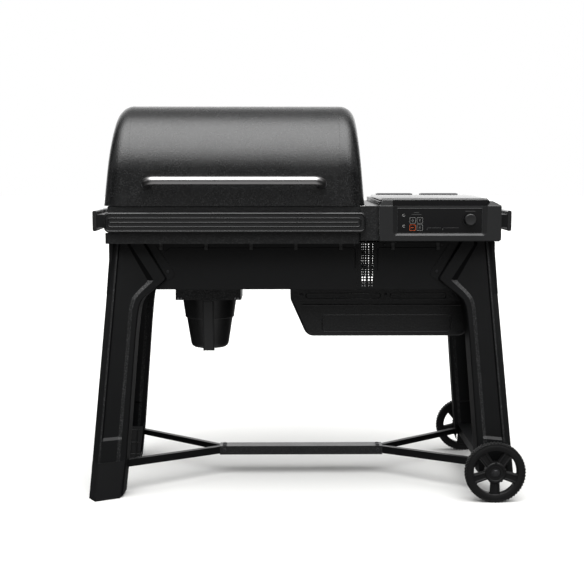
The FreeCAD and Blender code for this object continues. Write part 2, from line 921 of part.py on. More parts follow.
def keg_bracket():
    """The box under the barrel with two runners that the keg's lip slides along."""
    left, right = S.keg_bracket_x - S.keg_bracket_half, S.keg_bracket_x + S.keg_bracket_half
    front, rear = S.keg_y - 95, S.keg_y + 93
    bottom, top = S.keg_bracket_bottom, S.tub_floor
    body = prism("keg_bracket", "Z", rectangle(left, front, right, rear), bottom, top)
    hollow(body, S.panel, ["-Z"])
    drill(body, "Z", [(S.keg_x, S.keg_y)], 45, top - 5, top)
    slide_gap, ledge = 0.3, 14
    wall = S.panel
    shelf = S.keg_rim_z - slide_gap
    for outer, sign in ((left, 1), (right, -1)):
        runner = [
            (outer, shelf - wall),
            (outer + ledge * sign, shelf - wall),
            (outer + ledge * sign, shelf),
            (outer + wall * sign, shelf),
            (outer + wall * sign, bottom + 1),
            (outer, bottom + 1),
        ]
        add_prism(body, "Y", runner, S.keg_runner_front, rear)
    node("keg_bracket", body)


def ash_keg():
    wall = S.keg_wall
    outside = [
        (0, S.keg_base_z),
        (S.keg_base_radius - 16, S.keg_base_z),
        (S.keg_base_radius - 4, S.keg_base_z + 5),
        (S.keg_base_radius, S.keg_base_z + 18),
        (S.keg_bead_radius - 4, S.keg_bead_z - 3),
        (S.keg_bead_radius, S.keg_bead_z),
        (S.keg_rim_radius, S.keg_rim_z),
        (S.keg_lip_radius, S.keg_rim_z),
        (S.keg_lip_radius, S.keg_rim_z + 3),
    ]
    inside = [
        (S.keg_rim_radius - wall, S.keg_rim_z + 3),
        (S.keg_rim_radius - wall, S.keg_rim_z),
        (S.keg_bead_radius - wall, S.keg_bead_z),
        (S.keg_bead_radius - 4 - wall, S.keg_bead_z - 3),
        (S.keg_base_radius - wall, S.keg_base_z + 18),
        (S.keg_base_radius - 5 - wall, S.keg_base_z + 6),
        (S.keg_base_radius - 17, S.keg_base_z + wall),
        (0, S.keg_base_z + wall),
    ]
    body = new_body("ash_keg")
    sketch = new_sketch(body, "Y", 0)
    add_loop(sketch, outside + inside)
    turned = body.newObject("PartDesign::Revolution", "keg_turned")
    turned.Profile = sketch
    turned.ReferenceAxis = (sketch, ["V_Axis"])
    turned.Angle = 360
    bind(body, "Placement.Base.x", S.keg_x)
    bind(body, "Placement.Base.y", S.keg_y)
    doc.recompute()
    node("ash_keg", body)


def keg_handle():
    """The flat strap down the front of the keg, with a foot that hooks its base."""
    gap = 0.3
    top_wall = S.keg_y - S.keg_rim_radius - gap
    bead_wall = S.keg_y - S.keg_bead_radius - gap
    base_wall = S.keg_y - S.keg_base_radius - gap
    profile = [
        (top_wall, S.keg_rim_z - 0.5),
        (top_wall - 9, S.keg_rim_z - 0.5),
        (bead_wall - 9, S.keg_bead_z),
        (base_wall - 9, S.keg_base_z + 14),
        (base_wall - 6, S.keg_base_z - 4),
        (base_wall + 6, S.keg_base_z - 4),
        (base_wall + 6, S.keg_base_z - 0.3),
        (base_wall - 1, S.keg_base_z - 0.3),
        (base_wall, S.keg_base_z + 16),
        (bead_wall, S.keg_bead_z - 1),
    ]
    body = prism("keg_handle", "X", profile, S.keg_x - 17.5, S.keg_x + 17.5)
    node("keg_handle", body)


# ------------------------------------------------------------------------------ hopper

def hopper_casing():
    """Outer case of the hopper with a bevelled right shoulder and the deck's opening."""
    face = [
        (S.hopper_left, S.hopper_bottom),
        (S.hopper_right, S.hopper_bottom),
        (S.hopper_right, S.hopper_deck - 17),
        (S.hopper_lid_right, S.hopper_deck),
        (S.hopper_left, S.hopper_deck),
    ]
    body = prism("hopper_casing", "Y", face, S.bezel_rear, S.tub_rear)
    hollow(body, S.panel, ["-Z"])
    mouth = rectangle(234, -202, 519, 144)
    cut_prism(body, "Z", mouth, S.hopper_deck - 5, S.hopper_deck + 1)
    inlet = rectangle(470, 798, 502, 826)
    cut_prism(body, "Y", inlet, S.tub_rear - 5, S.tub_rear + 1)
    node("hopper_casing", body)


def add_taper(body, kind, low, low_z, high, high_z):
    """A taper between two level rectangles, added to a body or cut from it."""
    bottom = new_sketch(body, "Z", low_z)
    add_loop(bottom, rectangle(*low))
    top = new_sketch(body, "Z", high_z)
    add_loop(top, rectangle(*high))
    loft = body.newObject("PartDesign::" + kind, body.Name + "_taper")
    loft.Profile = bottom
    loft.Sections = [top]
    loft.Ruled = True
    doc.recompute()
    return loft


def hopper_bin():
    """The tapered pellet bin, down to the chute over the auger: four sheets that
    meet in a fine seam at each corner."""
    body = new_body("hopper_bin")
    mouth, chute, wall = (231, -205, 522, 147), (330, -24, 390, 24), S.bin_wall
    low, high = S.chute_bottom, S.hopper_deck - S.panel
    add_taper(body, "AdditiveLoft", chute, low, mouth, high)
    inner_chute = (chute[0] + wall, chute[1] + wall, chute[2] - wall, chute[3] - wall)
    inner_mouth = (mouth[0] + wall, mouth[1] + wall, mouth[2] - wall, mouth[3] - wall)
    add_taper(body, "SubtractiveLoft", inner_chute, low, inner_mouth, high)
    body.AllowCompound = True
    seam = 0.1
    for side in (0, 2):
        for end in (1, 3):
            lower, upper = Vector(chute[side], chute[end]), Vector(mouth[side], mouth[end])
            outward = (upper - lower).normalize() * (wall.number * 4)
            across = Vector(-outward.y, outward.x).normalize() * (seam / 2)
            near, far = lower - outward, upper + outward
            strip = [near - across, far - across, far + across, near + across]
            corners = [(point.x, point.y) for point in strip]
            cut_prism(body, "Z", corners, low - 1, high + 1)
    node("hopper_bin", body)


def hopper_lid():
    left, right = S.hopper_lid_left, S.hopper_lid_right
    bottom, top = S.hopper_lid_bottom, S.hopper_lid_top
    body = prism("hopper_lid", "Z", rectangle(left, S.hopper_lid_front, right, S.hopper_lid_rear),
                 bottom, top)
    roof = as_size(top).number

    def upper(edge):
        return all(abs(corner.Z - roof) < 0.01 for corner in edge.Vertexes)

    dress(body, "Chamfer", 3, upper)
    hollow(body, S.panel, ["-Z"])
    axis = (S.hopper_hinge_y, S.hopper_hinge_z)
    for start, end in HOPPER_KNUCKLES:
        add_disc(body, "X", axis, 4.5, start, end)
        tongue = rectangle(S.hopper_lid_rear - 3, S.hopper_hinge_z - 2,
                           S.hopper_hinge_y, S.hopper_hinge_z + 2)
        add_prism(body, "X", tongue, start, end)
    drill(body, "X", [axis], 2.5 + S.running_gap, 230, 510)
    node("hopper_lid", body)


HOPPER_KNUCKLES = ((241, 352), (383, 500))


def fascia():
    """The textured bridge between the barrel and the hopper: a front and a top plate."""
    wall = S.panel
    left, right = S.lid_right + 2, S.hopper_left - 0.5
    front, back = S.band_front, S.tub_rear
    plates = [
        (front, S.bezel_bottom),
        (front + wall, S.bezel_bottom),
        (front + wall, S.tub_rim),
        (back, S.tub_rim),
        (back, S.tub_rim + wall),
        (front, S.tub_rim + wall),
    ]
    body = prism("fascia", "X", plates, left, right)
    behind_rail = rectangle(front, S.bezel_bottom, front + wall, S.tub_rim + wall)
    add_prism(body, "X", behind_rail, S.fascia_left, left)
    node("fascia", body)


# ---------------------------------------------------------------------------- controls

def control_bezel():
    outline = [
        (S.hopper_left, S.bezel_bottom),
        (S.hopper_right, S.bezel_bottom),
        (S.hopper_right, S.bezel_top - 17),
        (S.hopper_lid_right, S.bezel_top),
        (S.hopper_left + 10, S.bezel_top),
        (S.hopper_left, S.bezel_top - 9),
    ]
    body = prism("control_bezel", "Y", outline, S.bezel_front, S.bezel_rear)
    frame = rectangle(S.window_left - 7, S.window_bottom - 7, S.window_right + 7, S.window_top + 7)
    cut_prism(body, "Y", frame, S.bezel_front, S.window_front)
    well = rectangle(S.window_left, S.window_bottom, S.window_right, S.window_top)
    cut_prism(body, "Y", well, S.window_front, S.bezel_rear - 6)
    node("control_bezel", body)


def key_places():
    """The four keys as (name, x, z) of their centres."""
    places = []
    for level, up in (("lower", S.key_z), ("upper", S.key_z + S.key_pitch)):
        for side, across in (("left", S.key_x), ("right", S.key_x + S.key_pitch)):
            places.append((f"key_{level}_{side}", across, up))
    return places


def square(across, up, size):
    half = as_size(size) / 2
    return rectangle(across - half, up - half, across + half, up + half)


def display_window():
    front, back = S.window_front, S.window_front + 3
    plate = rectangle(S.window_left + 0.2, S.window_bottom + 0.2,
                      S.window_right - 0.2, S.window_top - 0.2)
    body = prism("display_window", "Y", plate, front, back)
    dial = (S.dial_x, S.dial_z)
    add_disc(body, "Y", dial, S.dial_radius + 5.5, front - 3, front + 1, S.dial_radius + 2)
    drill(body, "Y", [dial], 3.4, front, back)
    sketch = new_sketch(body, "Y", front)
    for name, across, up in key_places():
        add_loop(sketch, square(across, up, S.key_size + S.key_gap * 2))
    take_away(body, sketch, 3)
    node("display_window", body)


def controls():
    """Keys that press in, and the dial that turns on a shaft that presses in."""
    front = S.window_front
    for name, across, up in key_places():
        node(name, prism(name, "Y", square(across, up, S.key_size), front - 0.4, front + 9))
    dial = (S.dial_x, S.dial_z)
    node("encoder_shaft", plain_rod("encoder_shaft", "Y", dial, 3, front - 9, front + 15))
    knob = new_body("dial_knob")
    add_disc(knob, "Y", dial, S.dial_radius, front - 18, front - 1.2)
    drill(knob, "Y", [dial], 3 + S.running_gap, front - 9.3, front - 1.2)
    node("dial_knob", knob)


def power_inlet():
    rear = S.tub_rear
    body = block("power_inlet", (470.5, rear - 20, 798.5), (501.5, rear + 4, 825.5))
    socket = rectangle(475, 803, 497, 821)
    cut_from_behind(body, socket, rear - 12, rear + 4)
    node("power_inlet", body)


# --------------------------------------------------------------- auger, fan, fire pot

def auger_cover():
    """The pan that covers the auger and the fan, with a flange round its top."""
    face = [
        (S.cover_left, S.cover_top),
        (S.cover_left, S.cover_top - 38),
        (S.cover_left + 50, S.cover_bottom),
        (S.cover_right, S.cover_bottom),
        (S.cover_right, S.cover_top),
    ]
    body = prism("auger_cover", "Y", face, S.cover_front, S.cover_rear)
    floor = S.cover_bottom.number

    def bottom_corner(edge):
        return along("Y")(edge) and abs(edge.Vertexes[0].Z - floor) < 0.01

    dress(body, "Fillet", 32, bottom_corner)
    hollow(body, 2.5, ["+Z"])
    low_back = rectangle(S.cover_left - 1, S.cover_top - 10, S.cover_right + 1, S.cover_top + 1)
    cut_prism(body, "Y", low_back, S.cover_rear - 6, S.cover_rear + 1)
    front, back = S.cover_front + 0.5, S.cover_rear - 8
    left, right = S.cover_left + 0.5, S.cover_right - 0.5
    flange = [
        (left, front), (right, front), (right, back), (right - 10, back),
        (right - 10, front + 11), (left + 10, front + 11), (left + 10, back), (left, back),
    ]
    add_prism(body, "Z", flange, S.cover_top - 2, S.cover_top)
    node("auger_cover", body)


def auger_tube():
    """The feed tube with the collar that the hopper chute drops into."""
    axis = (0, S.auger_z)
    wall = 2.0
    left, right = S.auger_left - 2, S.auger_tube_right
    outer = plain_rod("tube_outer", "X", axis, S.auger_tube_radius, left, right)
    collar = plain_box("tube_collar", (328, -30, S.auger_z + 5), (392, 30, S.chute_bottom - 0.5))
    bore = plain_rod("tube_bore", "X", axis, S.auger_tube_radius - wall, left - 1, right + 1)
    throat = plain_box("tube_throat", (331, -18, S.auger_z + 5), (389, 18, S.chute_bottom + 1))
    node("auger_tube", minus("auger_tube", joined("tube_body", [outer, collar]),
                             joined("tube_space", [bore, throat])))


def auger_screw():
    """A shaft with one helical flight."""
    axis = (0, S.auger_z)
    body = new_body("auger_screw")
    start, end = S.auger_left + 4, S.auger_tube_right + 18
    add_disc(body, "X", axis, S.auger_shaft_radius, start, end)
    sketch = body.newObject("Sketcher::SketchObject", "flight_section")
    plane = [item for item in body.Origin.OriginFeatures if item.Role == "XZ_Plane"][0]
    sketch.AttachmentSupport = (plane, [""])
    sketch.MapMode = "FlatFace"
    foot = S.auger_z + S.auger_shaft_radius - 1
    tip = S.auger_z + S.auger_radius
    add_loop(sketch, rectangle(start + 2, foot, start + 5, tip))
    middle = sketch.addGeometry(Part.LineSegment(Vector(0, S.auger_z.number, 0),
                                                 Vector(400, S.auger_z.number, 0)), True)
    pin_point(sketch, middle, 1, (0, S.auger_z))
    pin_point(sketch, middle, 2, (400, S.auger_z))
    helix = body.newObject("PartDesign::AdditiveHelix", "flight")
    helix.Profile = sketch
    helix.ReferenceAxis = (sketch, ["Axis0"])
    helix.Mode = "pitch-height-angle"
    bind(helix, "Pitch", S.auger_pitch)
    bind(helix, "Height", S.auger_tube_right - S.auger_left - 20)
    doc.recompute()
    node("auger_screw", body)


def auger_motor():
    body = block("auger_motor", (402, -34, 548), (470, 34, 604))
    add_disc(body, "X", (0, 576), 24, 470, 498)
    socket = new_sketch(body, "X", 402)
    add_circle(socket, (0, S.auger_z), S.auger_shaft_radius + S.running_gap)
    take_away(body, socket, 20, backwards=True)
    node("auger_motor", body)


def fan():
    """A centrifugal blower: its housing with the motor behind, and its impeller."""
    axis = (S.fan_x, S.fan_z)
    housing = new_body("fan_housing")
    add_disc(housing, "Y", axis, S.fan_radius, -64, -16)
    outlet = rectangle(S.fan_x - 60, S.fan_z + 14, S.fan_x - 24, S.fan_z + 36)
    add_prism(housing, "Y", outlet, -60, -18)
    drill(housing, "Y", [axis], S.fan_radius - 2, -64, -18)
    duct = rectangle(S.fan_x - 61, S.fan_z + 16, S.fan_x - 20, S.fan_z + 30)
    cut_prism(housing, "Y", duct, -58, -20)
    add_disc(housing, "Y", axis, 20, -16, 20)
    drill(housing, "Y", [axis], 3 + S.running_gap, -18, 12)
    node("fan_housing", housing)
    impeller = new_body("fan_impeller")
    add_disc(impeller, "Y", axis, S.fan_radius - 5, -24, -21)
    add_disc(impeller, "Y", axis, 3, -24, 10)
    add_disc(impeller, "Y", axis, 8, -40, -23)
    ring_out, ring_in = S.fan_radius - 5, S.fan_radius - 10
    blades = new_sketch(impeller, "Y", -23)
    count = 16
    for index in range(count):
        angle = 2 * math.pi * index / count
        outward = (math.cos(angle), math.sin(angle))
        sideways = (-outward[1], outward[0])
        corners = []
        for reach, side in ((ring_in, -0.8), (ring_out, -0.8), (ring_out, 0.8), (ring_in, 0.8)):
            reach = reach.number - 0.2
            corners.append((axis[0] + outward[0] * reach + sideways[0] * side,
                            axis[1] + outward[1] * reach + sideways[1] * side))
        add_loop(blades, corners)
    extrude(impeller, blades, 35)
    add_disc(impeller, "Y", axis, ring_out, -60, -57, ring_in)
    node("fan_impeller", impeller)


def fire_pot():
    body = new_body("fire_pot")
    centre = (S.pot_x, 0)
    add_disc(body, "Z", centre, S.pot_radius, S.pot_bottom, S.pot_top)
    drill(body, "Z", [centre], S.pot_radius - 3, S.pot_bottom + 4, S.pot_top)
    ledge = S.tub_floor + S.panel
    add_disc(body, "Z", centre, S.pot_radius + 11, ledge, ledge + 2, S.pot_radius - 1)
    drill(body, "X", [(0, S.auger_z)], S.auger_tube_radius + 0.2, S.pot_x, S.pot_x + 60)
    drill(body, "Y", [(S.pot_x, 560)], 5.2, -60, -20)
    air = [(across, 660) for across in (S.pot_x - 24, S.pot_x, S.pot_x + 24)]
    drill(body, "Y", air, 2.5, -60, 60)
    node("fire_pot", body)


def heat_baffle():
    wall, half, floor, top = S.panel, 100, S.tub_floor + S.panel, 736
    fold = [
        (-half, floor), (wall - half, floor), (wall - half, top - wall), (half - wall, top - wall),
        (half - wall, floor), (half, floor), (half, top), (-half, top),
    ]
    node("heat_baffle", prism("heat_baffle", "X", fold, -50, 150))


def grease_tray():
    """The drip tray hangs by its lips on the step of the tub."""
    wall, half, lip = S.panel, 198, 216
    step, floor = S.tub_step + S.panel, 738
    fold = [
        (-lip, step), (-half - wall, step), (-half - wall, floor), (half + wall, floor),
        (half + wall, step), (lip, step), (lip, step + wall), (half, step + wall),
        (half, floor + wall), (-half, floor + wall), (-half, step + wall), (-lip, step + wall),
    ]
    body = prism("grease_tray", "X", fold, -565, 150)
    drill(body, "Z", [(S.keg_x, S.keg_y)], 25, floor - 1, floor + 3)
    node("grease_tray", body)


def wire_grate(name, left, right, front, rear, bottom, pitch, foot):
    """A frame, rods from front to rear, and four feet."""
    top = bottom + S.grate_thick
    body = prism(name, "Z", rectangle(left, front, right, rear), bottom, top)
    bar = 8
    cut_prism(body, "Z", rectangle(left + bar, front + bar, right - bar, rear - bar), bottom, top)
    count = int((right.number - left.number - 2 * bar) / pitch)
    start = left + bar + pitch / 2
    rod = rectangle(start - 2.5, front + 4, start + 2.5, rear - 4)
    first = add_prism(body, "Z", rod, bottom + 0.5, top - 0.5)
    repeat(body, first, "X", pitch, count)
    feet = new_sketch(body, "Z", foot)
    for across in (left + bar / 2, right - bar / 2):
        for deep in (front + bar / 2, rear - bar / 2):
            add_loop(feet, rectangle(across - 4, deep - 4, across + 4, deep + 4))
    extrude(body, feet, bottom + 1 - foot)
    return body


def grates():
    floor = S.tub_step + S.panel
    left = wire_grate("grate_left", S.tub_left + 12, as_size(-208), as_size(-248), as_size(229),
                      S.grate_z, 17, floor)
    right = wire_grate("grate_right", as_size(-205), S.tub_right - 12, as_size(-248), as_size(229),
                       S.grate_z, 17, floor)
    group("grill_grates", [left, right])
    rack = wire_grate("upper_rack", as_size(-540), as_size(125), as_size(0), as_size(205),
                      S.rack_z, 26, S.grate_z + S.grate_thick)
    node("upper_rack", rack)


def loose_rods():
    """The hot rod igniter and the barrel's temperature probe."""
    node("hot_rod", plain_rod("hot_rod", "Y", (S.pot_x, 560), 5, -92, -40))
    wall = S.tub_right - S.panel
    node("temperature_probe", plain_rod("temperature_probe", "X", (120, 850), 3, wall - 45, wall))


# ----------------------------------------------------------------------- lid and hinges

def lid_solid(name, left, right):
    """The barrel-lid section between two X stations, solid."""
    face = rectangle(S.lid_front, S.lid_bottom, S.lid_rear, S.lid_top)
    body = prism(name, "X", face, left, right)
    top = S.lid_top.number
    for place, radius in ((S.lid_front, S.lid_front_radius), (S.lid_rear, S.lid_rear_radius)):
        edge_y = place.number

        def shoulder(edge):
            corner = edge.Vertexes[0]
            level = abs(corner.Z - top) < 0.01 and abs(corner.Y - edge_y) < 0.01
            return along("X")(edge) and level

        dress(body, "Fillet", radius, shoulder)
    return body


def lid():
    seam_left, seam_right = S.lid_seam_left, S.lid_seam_right
    middle = lid_solid("lid_shell", seam_left, seam_right)
    hollow(middle, S.lid_sheet, ["-Z", "-X", "+X"])
    node("lid_shell", middle)
    floor = S.lid_bottom.number
    rise = S.lid_top - S.lid_bottom
    for name, left, right, end, lean, inner in (
            ("lid_end_left", S.lid_left, seam_left - 0.3, S.lid_left, S.lid_left_lean, "+X"),
            ("lid_end_right", seam_right + 0.3, S.lid_right, S.lid_right,
             S.lid_right_lean * -1, "-X")):
        body = lid_solid(name, left, right)
        wedge = [(end, S.lid_bottom), (end + rise * lean, S.lid_top), (end, S.lid_top)]
        cut_prism(body, "Y", wedge, S.lid_front - 1, S.lid_rear + 1)
        end_x, slope = end.number, lean.number

        def rim(edge):
            on_end = all(abs(corner.X - end_x - slope * (corner.Z - floor)) < 0.01
                         for corner in edge.Vertexes)
            on_floor = all(abs(corner.Z - floor) < 0.01 for corner in edge.Vertexes)
            return on_end and not on_floor

        dress(body, "Fillet", S.lid_end_rounding, rim)
        hollow(body, S.lid_sheet, ["-Z", inner])
        node(name, body)


def lid_handle():
    """A tube from foot to foot, bent through a quarter turn at each end."""
    foot_y = S.lid_front.number
    start = Vector(S.handle_left.number, foot_y, S.handle_foot_z.number)
    corner = Vector(S.handle_left.number, foot_y - S.handle_reach.number, S.handle_bar_z.number)
    outward = (corner - start).normalize()
    sideways = Vector(1, 0, 0)
    bend = S.handle_bend.number
    centre = corner - outward * bend + sideways * bend
    turn_start = corner - outward * bend
    turn_end = corner + sideways * bend
    turn_mid = centre + (outward - sideways).normalize() * bend
    middle_x = (S.handle_left.number + S.handle_right.number) / 2

    def mirrored(point):
        return Vector(2 * middle_x - point.x, point.y, point.z)

    path = Part.Wire([
        Part.LineSegment(start, turn_start).toShape(),
        Part.Arc(turn_start, turn_mid, turn_end).toShape(),
        Part.LineSegment(turn_end, mirrored(turn_end)).toShape(),
        Part.Arc(mirrored(turn_end), mirrored(turn_mid), mirrored(turn_start)).toShape(),
        Part.LineSegment(mirrored(turn_start), mirrored(start)).toShape(),
    ])
    sides = []
    for radius in (S.handle_radius.number, S.handle_radius.number - 1.5):
        ring = Part.Wire(Part.Circle(start, outward, radius).toShape())
        sides.append(path.makePipeShell([ring], True, False))
    tube = sides[0].cut(sides[1])
    behind = Part.makeBox(700, 60, 100, Vector(S.handle_left.number - 60, foot_y, 860))
    foot = Part.makeCylinder(S.handle_radius.number, 14, start - outward * 14, outward)
    tube = tube.fuse([foot, foot.mirror(Vector(middle_x, 0, 0), Vector(1, 0, 0))]).cut(behind)
    solid_feature("lid_handle", tube.removeSplitter())


LID_HINGE_X = (-450, 36)


def hinges():
    """Brackets and ears on the grill, leaves on the lid, and the pins through them."""
    pin = S.hinge_pin_radius
    bore = pin + S.running_gap
    axis = (S.hinge_y, S.hinge_z)
    brackets, leaves, pins = [], [], []
    rear = S.tub_rear
    for index, middle in enumerate(LID_HINGE_X):
        plate = plain_box(f"hinge_plate_{index}", (middle - 19, rear, 828), (middle + 19, rear + 3, 856))
        cheeks = [plate]
        for side, (near, far) in enumerate(((-19, -15), (15, 19))):
            cheeks.append(plain_box(f"hinge_web_{index}_{side}", (middle + near, rear, 832),
                                    (middle + far, rear + 18, 856)))
            cheeks.append(plain_box(f"hinge_neck_{index}_{side}",
                                    (middle + near, S.hinge_y - 6, 850),
                                    (middle + far, S.hinge_y + 6, S.hinge_z)))
            cheeks.append(plain_rod(f"hinge_eye_{index}_{side}", "X", axis, 8,
                                    middle + near, middle + far))
        eye = plain_rod(f"hinge_bore_{index}", "X", axis, pin, middle - 25, middle + 25)
        brackets.append(minus(f"hinge_bracket_{index}", joined(f"hinge_cheeks_{index}", cheeks), eye))
        strap = plain_box(f"leaf_strap_{index}", (middle - 14.5, S.lid_rear, 867),
                          (middle + 14.5, S.lid_rear + 3, 905))
        knuckle = plain_rod(f"leaf_knuckle_{index}", "X", axis, 8, middle - 14.5, middle + 14.5)
        hole = plain_rod(f"leaf_bore_{index}", "X", axis, bore, middle - 25, middle + 25)
        leaves.append(minus(f"leaf_{index}", joined(f"leaf_body_{index}", [strap, knuckle]), hole))
        shaft = plain_rod(f"pin_shaft_{index}", "X", axis, pin, middle - 19, middle + 19)
        heads = [plain_rod(f"pin_head_{index}_{side}", "X", axis, 6, middle + near, middle + far)
                 for side, (near, far) in enumerate(((-21, -19), (19, 21)))]
        pins.append(joined(f"lid_pin_{index}", [shaft] + heads))
    axis = (S.hopper_hinge_y, S.hopper_hinge_z)
    deck = S.hopper_deck
    for index, (start, end) in enumerate(HOPPER_KNUCKLES):
        for side, (near, far) in enumerate(((start - 4, start - 0.4), (end + 0.4, end + 4))):
            ear = plain_box(f"ear_{index}_{side}", (near, S.hopper_hinge_y - 3.5, deck),
                            (far, S.hopper_hinge_y + 3.5, S.hopper_hinge_z + 4))
            eye = plain_rod(f"ear_bore_{index}_{side}", "X", axis, 2.5, near - 1, far + 1)
            brackets.append(minus(f"hopper_ear_{index}_{side}", ear, eye))
        pins.append(plain_rod(f"hopper_pin_{index}", "X", axis, 2.5, start - 4, end + 4))
    group("hinge_brackets", brackets)
    group("lid_hinge_leaves", leaves)
    group("hinge_pins", pins)


def exhaust_duct():
    body = block("exhaust_duct", (-380, S.tub_rear, 788), (-20, S.tub_rear + 40, 850))
    hollow(body, S.panel, ["-Y"])
    slots = new_sketch(body, "Z", 788 + S.panel)
    for index in range(8):
        left = -370 + index * 43
        add_loop(slots, rectangle(left, S.tub_rear + 12, left + 30, S.tub_rear + 28))
    take_away(body, slots, S.panel)
    node("exhaust_duct", body)


barrel_tub()
front_rail()
lower_band()
side_rail("side_rail_left", S.side_rail_left, S.side_rail_left + S.side_rail_plate, S.tub_left)
side_rail("side_rail_right", S.side_rail_right, S.side_rail_right - S.side_rail_plate, S.hopper_right)
aprons()
tool_hooks()
panel_screws()
legs()
stretcher_bar()
stretcher_arms()
frame_bolts()
axle()
wheel("wheel_front", -S.wheel_outer_y, S.wheel_width - S.wheel_outer_y, "front")
wheel("wheel_rear", S.wheel_outer_y - S.wheel_width, S.wheel_outer_y, "rear")
keg_bracket()
ash_keg()
keg_handle()
hopper_casing()
hopper_bin()
hopper_lid()
fascia()
control_bezel()
display_window()
controls()
power_inlet()
auger_cover()
auger_tube()
auger_screw()
auger_motor()
fan()
fire_pot()
heat_baffle()
grease_tray()
grates()
loose_rods()
lid()
lid_handle()
hinges()
exhaust_duct()
doc.recompute()

for thing in doc.Objects:
    if failed(thing):
        raise RuntimeError(f"{thing.Name} failed: {thing.State}")
broken = [piece.Label for piece in NODES if piece.Shape.isNull() or not piece.Shape.isValid()]
if broken:
    raise RuntimeError(f"no valid shape: {broken}")

os.makedirs("parts", exist_ok=True)
for piece in NODES:
    piece.Shape.exportStep(f"parts/{piece.Label}.step")
    box = piece.Shape.BoundBox
    print(f"{piece.Label:20s} solids {len(piece.Shape.Solids):2d} volume {piece.Shape.Volume:12.0f}"
          f"  x {box.XMin:7.1f} {box.XMax:7.1f}  y {box.YMin:7.1f} {box.YMax:7.1f}"
          f"  z {box.ZMin:7.1f} {box.ZMax:7.1f}")
print(len(NODES), "nodes")
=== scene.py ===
import math

import bmesh
import bpy
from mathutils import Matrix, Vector


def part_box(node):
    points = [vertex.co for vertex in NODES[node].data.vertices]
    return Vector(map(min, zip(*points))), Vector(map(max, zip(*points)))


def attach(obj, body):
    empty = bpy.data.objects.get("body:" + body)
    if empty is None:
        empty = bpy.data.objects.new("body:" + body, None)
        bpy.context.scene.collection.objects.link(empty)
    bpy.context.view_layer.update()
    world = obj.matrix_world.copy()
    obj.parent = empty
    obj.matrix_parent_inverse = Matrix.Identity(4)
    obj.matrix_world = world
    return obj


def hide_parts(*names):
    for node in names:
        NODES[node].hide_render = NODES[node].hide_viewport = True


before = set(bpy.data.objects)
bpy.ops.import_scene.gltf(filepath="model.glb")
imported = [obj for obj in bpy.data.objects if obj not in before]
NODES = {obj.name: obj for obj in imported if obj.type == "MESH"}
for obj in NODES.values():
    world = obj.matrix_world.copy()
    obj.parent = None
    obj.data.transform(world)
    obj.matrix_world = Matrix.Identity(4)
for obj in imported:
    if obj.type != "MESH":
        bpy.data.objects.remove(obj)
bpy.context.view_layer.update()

MM = 0.001
SCENE = bpy.context.scene

# ------------------------------------------------------------------ camera and studio

CAMERA_AT = (-0.0769, -3.6415, 0.9911)
CAMERA_PITCH, CAMERA_YAW = 6.354, 0.614
CAMERA_LENS, CAMERA_SENSOR = 71.765, 36.0

camera_data = bpy.data.cameras.new("camera")
camera_data.lens = CAMERA_LENS
camera_data.sensor_width = CAMERA_SENSOR
camera = bpy.data.objects.new("camera", camera_data)
camera.location = CAMERA_AT
camera.rotation_euler = (math.radians(90 - CAMERA_PITCH), 0, math.radians(-CAMERA_YAW))
SCENE.collection.objects.link(camera)
SCENE.camera = camera
SCENE.view_settings.view_transform = "Standard"
SCENE.view_settings.look = "None"

# Studio light by elevation: 0 is straight down, 0.25 the horizon in front, 0.5 straight
# up, 0.75 the horizon behind. A wide softbox hangs overhead and a little to the front.
STUDIO_LIGHT = (
    (0.00, 0.55), (0.16, 0.50), (0.21, 0.25), (0.236, 0.11), (0.2465, 0.95), (0.253, 0.60),
    (0.262, 0.04), (0.283, 0.02), (0.306, 0.18),
    (0.328, 1.4), (0.35, 3.5), (0.375, 6.0), (0.458, 6.6), (0.522, 5.0), (0.544, 2.2),
    (0.560, 0.7), (0.594, 0.34), (0.644, 0.45), (0.667, 0.9), (0.694, 1.4), (0.735, 2.0),
    (0.757, 1.7), (0.767, 0.35), (0.80, 0.16), (0.93, 0.35), (1.00, 0.55),
)
LIGHT_TOP = 7.0
SIDE_LIGHT = 0.07


def link_nodes(tree, pairs):
    for source, target in pairs:
        tree.links.new(source, target)


def add_node(tree, kind, values=None, **settings):
    """A shader node with its settings and the constants of its inputs."""
    node = tree.nodes.new("ShaderNode" + kind)
    for name, value in settings.items():
        setattr(node, name, value)
    for name, value in (values or {}).items():
        node.inputs[name].default_value = value
    return node


